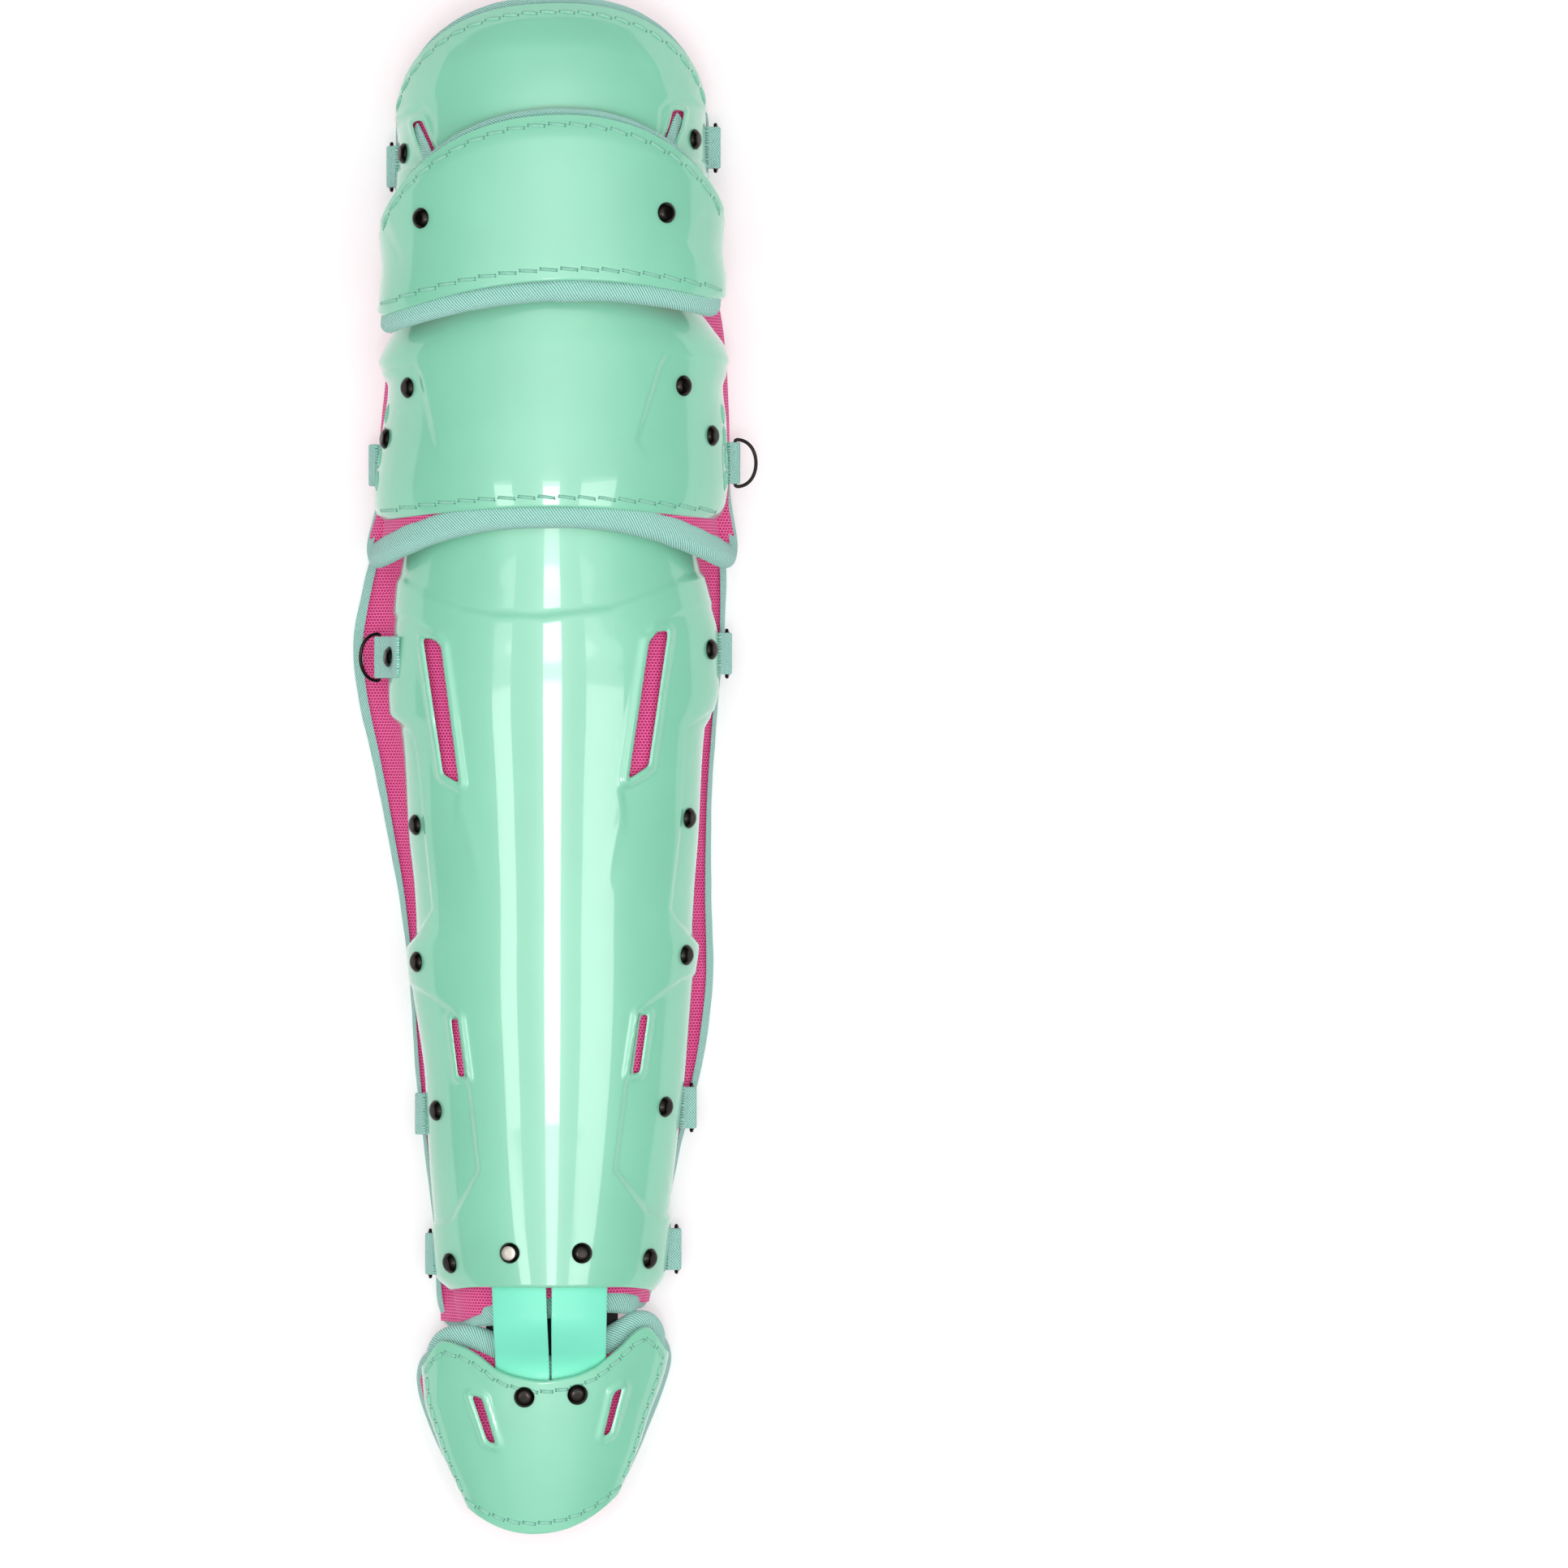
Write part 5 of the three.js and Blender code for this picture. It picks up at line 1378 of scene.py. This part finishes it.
def makeStitches(name, shellName, lines, pitch):
    points, faces, kinds = [], [], []
    sides, ends, holeSides = stitch["sides"], (0, stitch["stations"] - 1), needleHole["sides"]
    stations = np.linspace(0, 1, stitch["stations"])
    lift = stitch["rise"] * np.sin(math.pi * stations) ** 0.5 - stitch["sunk"]
    for line in lines:
        stops = spacedAlong(line, pitch)
        steps = stops[1:] - stops[:-1]
        first, last = stops[:-1] + stitch["first"] * steps, stops[:-1] + stitch["last"] * steps
        middle = (first + last) / 2
        reach = last - middle
        turn = np.radians(stitch["slant"]) * np.abs(unit(reach)[:, 0])  # lines up a side stay straight
        swung = np.stack((reach[:, 0] * np.cos(turn) - reach[:, 1] * np.sin(turn),
                          reach[:, 0] * np.sin(turn) + reach[:, 1] * np.cos(turn)), -1)
        for a, b in zip(middle - swung, middle + swung):
            x, y = a[0] + (b[0] - a[0]) * stations, a[1] + (b[1] - a[1]) * stations
            place, normal = onShell(shellName, x, y, lift)
            tangent = tangentsOf(place)
            aside = unit(np.cross(tangent, normal))
            start = len(points)
            for k in range(stitch["stations"]):
                radius = stitch["endRadius"] if k in ends else stitch["radius"]
                points += ringOf(place[k], radius, sides, aside[k], normal[k])
            for k in range(ends[1]):
                faces += wallFaces(start + k * sides, start + (k + 1) * sides, sides)
                kinds += [0] * sides
            faces += endFaces(start, start + ends[1] * sides, sides)
            kinds += [0, 0]
            # At each end a dark disc stands for the needle hole: painted shade in the hole.
            for k in ends:
                start = len(points)
                centre = place[k] + normal[k] * needleHole["lift"]
                for height in needleHole["heights"]:
                    level = centre + normal[k] * height
                    points += ringOf(level, needleHole["radius"], holeSides, aside[k], tangent[k])
                faces += wallFaces(start, start + holeSides, holeSides)
                faces += endFaces(start, start + holeSides, holeSides)
                kinds += [1] * (holeSides + 2)
    piece = newObject(name, np.array(points), faces, None, (threadCloth, holeShadeCloth), kinds, sharp=60)
    return settle(piece, [])


# A line inside a piece's edge: at its bottom or top, or up its sides, at a set distance in.
def edgeLine(piece, first, last, inset, where, count=80):
    u = np.linspace(first, last, count)
    across = np.sin(u * archSpread) / math.sin(archSpread)
    length = topAt(piece, across) - bottomAt(piece, across)
    v = inset / length if where == "bottom" else 1 - inset / length
    return archPoint(piece, u, v)[:, :2]


def sideLine(piece, around, low, high, count=40):
    return archPoint(piece, np.full(count, around), np.linspace(low, high, count))[:, :2]


stitchLines = {
    "thigh_cap": ([edgeLine(thighShell, -0.93, 0.93, 4.2, "top")], 8.2),
    "knee_cap": ([edgeLine(kneeShell, -0.92, 0.92, 4.5, "bottom"),
                  edgeLine(kneeShell, -0.9, 0.9, 4.2, "top")], 9),
    "lower_cap": ([edgeLine(lowerShell, -0.9, 0.9, 4.0, "bottom"), sideLine(lowerShell, -0.92, 0.14, 0.55),
                   sideLine(lowerShell, 0.92, 0.14, 0.55)], 9),
    "toe_cap": ([edgeLine(toeShell, -0.9, 0.9, 4.2, "top"), edgeLine(toeShell, -0.9, 0.9, 4.5, "bottom"),
                 sideLine(toeShell, -0.86, 0.12, 0.9), sideLine(toeShell, 0.86, 0.12, 0.9)], 6.8),
}
for name, (lines, pitch) in stitchLines.items():
    makeStitches(f"stitches_{name}", name, lines, pitch)
print("stitches done")


# Floor, light and camera

def makeFloor():
    mesh = bpy.data.meshes.new("floor")
    reach = 40
    mesh.from_pydata([(-reach, -reach, 0), (reach, -reach, 0), (reach, reach, 0), (-reach, reach, 0)], [],
                     [(0, 1, 2, 3)])
    material, nodes, links, shader = newMaterial("floor")
    setSockets(shader, {
        "Base Color": (0.7, 0.7, 0.7, 1), "Roughness": 0.9, "Specular IOR Level": 0,
        "Emission Color": (1, 1, 1, 1), "Emission Strength": 0.34,
    })
    mesh.materials.append(material)
    floor = bpy.data.objects.new("floor", mesh)
    floor.location.z = -0.0002
    bpy.context.collection.objects.link(floor)


# A soft light far away. Its tilt to the right and its lean up are angles from straight overhead, and its
# width and length are the angles that it spans.
def makeSoftLight(name, tilt, width, length, radiance, distance=8, lean=0):
    light = bpy.data.lights.new(name, "AREA")
    light.shape = "RECTANGLE"
    light.size = 2 * distance * math.tan(math.radians(width / 2))
    light.size_y = 2 * distance * math.tan(math.radians(length / 2))
    light.energy = radiance * math.pi * light.size * light.size_y
    lamp = bpy.data.objects.new(name, light)
    turn = math.radians(tilt)
    nod = math.radians(lean)
    direction = Vector((math.sin(turn) * math.cos(nod), math.sin(nod), math.cos(turn) * math.cos(nod)))
    aside = Vector((0, 1, 0)).cross(direction).normalized()
    axes = Matrix((aside, direction.cross(aside), direction)).transposed().to_4x4()
    lamp.matrix_world = Matrix.Translation(direction * distance) @ axes
    bpy.context.collection.objects.link(lamp)


makeFloor()
for layer, (start, share) in enumerate(((3.1, 0.35), (4.3, 0.65))):
    end = 15.0
    strips = (("middle", 0, 9, 15), ("left", -26, 10, 5.5), ("right", 26.5, 20, 4.4))
    for side, tilt, width, radiance in strips:
        lean = -(start + end) / 2
        makeSoftLight(f"strip_{side}_{layer}", tilt, width, end - start, radiance * share, lean=lean)

world = bpy.data.worlds.new("studio")
bpy.context.scene.world = world
world.use_nodes = True
sky = world.node_tree
parts = sky.nodes.new("ShaderNodeSeparateXYZ")
sky.links.new(sky.nodes.new("ShaderNodeTexCoord").outputs["Generated"], parts.inputs[0])
height = mathNode(sky.nodes, sky.links, "MAXIMUM", parts.outputs[2], 0)
cubed = mathNode(sky.nodes, sky.links, "POWER", height, 3)
glow = mathNode(sky.nodes, sky.links, "MULTIPLY_ADD", cubed, 1.35, 0.05)
zenith = mathNode(sky.nodes, sky.links, "POWER", height, 8)
glow = mathNode(sky.nodes, sky.links, "MULTIPLY_ADD", zenith, 1.2, glow)
sky.links.new(glow, sky.nodes["Background"].inputs["Strength"])
sky.nodes["Background"].inputs["Color"].default_value = (1, 1, 1, 1)

cameraDistance = 6
frameWidth = imageSide * pixelSize / 1000
camera = bpy.data.cameras.new("camera")
camera.sensor_width = 36
camera.lens = 36 * cameraDistance / frameWidth
viewpoint = bpy.data.objects.new("camera", camera)
viewpoint.location = (
    ((imageSide / 2 - middlePixel) * pixelSize + frameShift[0]) / 1000,
    ((lowestPixel - imageSide / 2) * pixelSize + frameShift[1]) / 1000,
    cameraDistance + 0.03,
)
bpy.context.collection.objects.link(viewpoint)
bpy.context.scene.camera = viewpoint
bpy.context.scene.view_settings.view_transform = "Standard"
print("stage done")
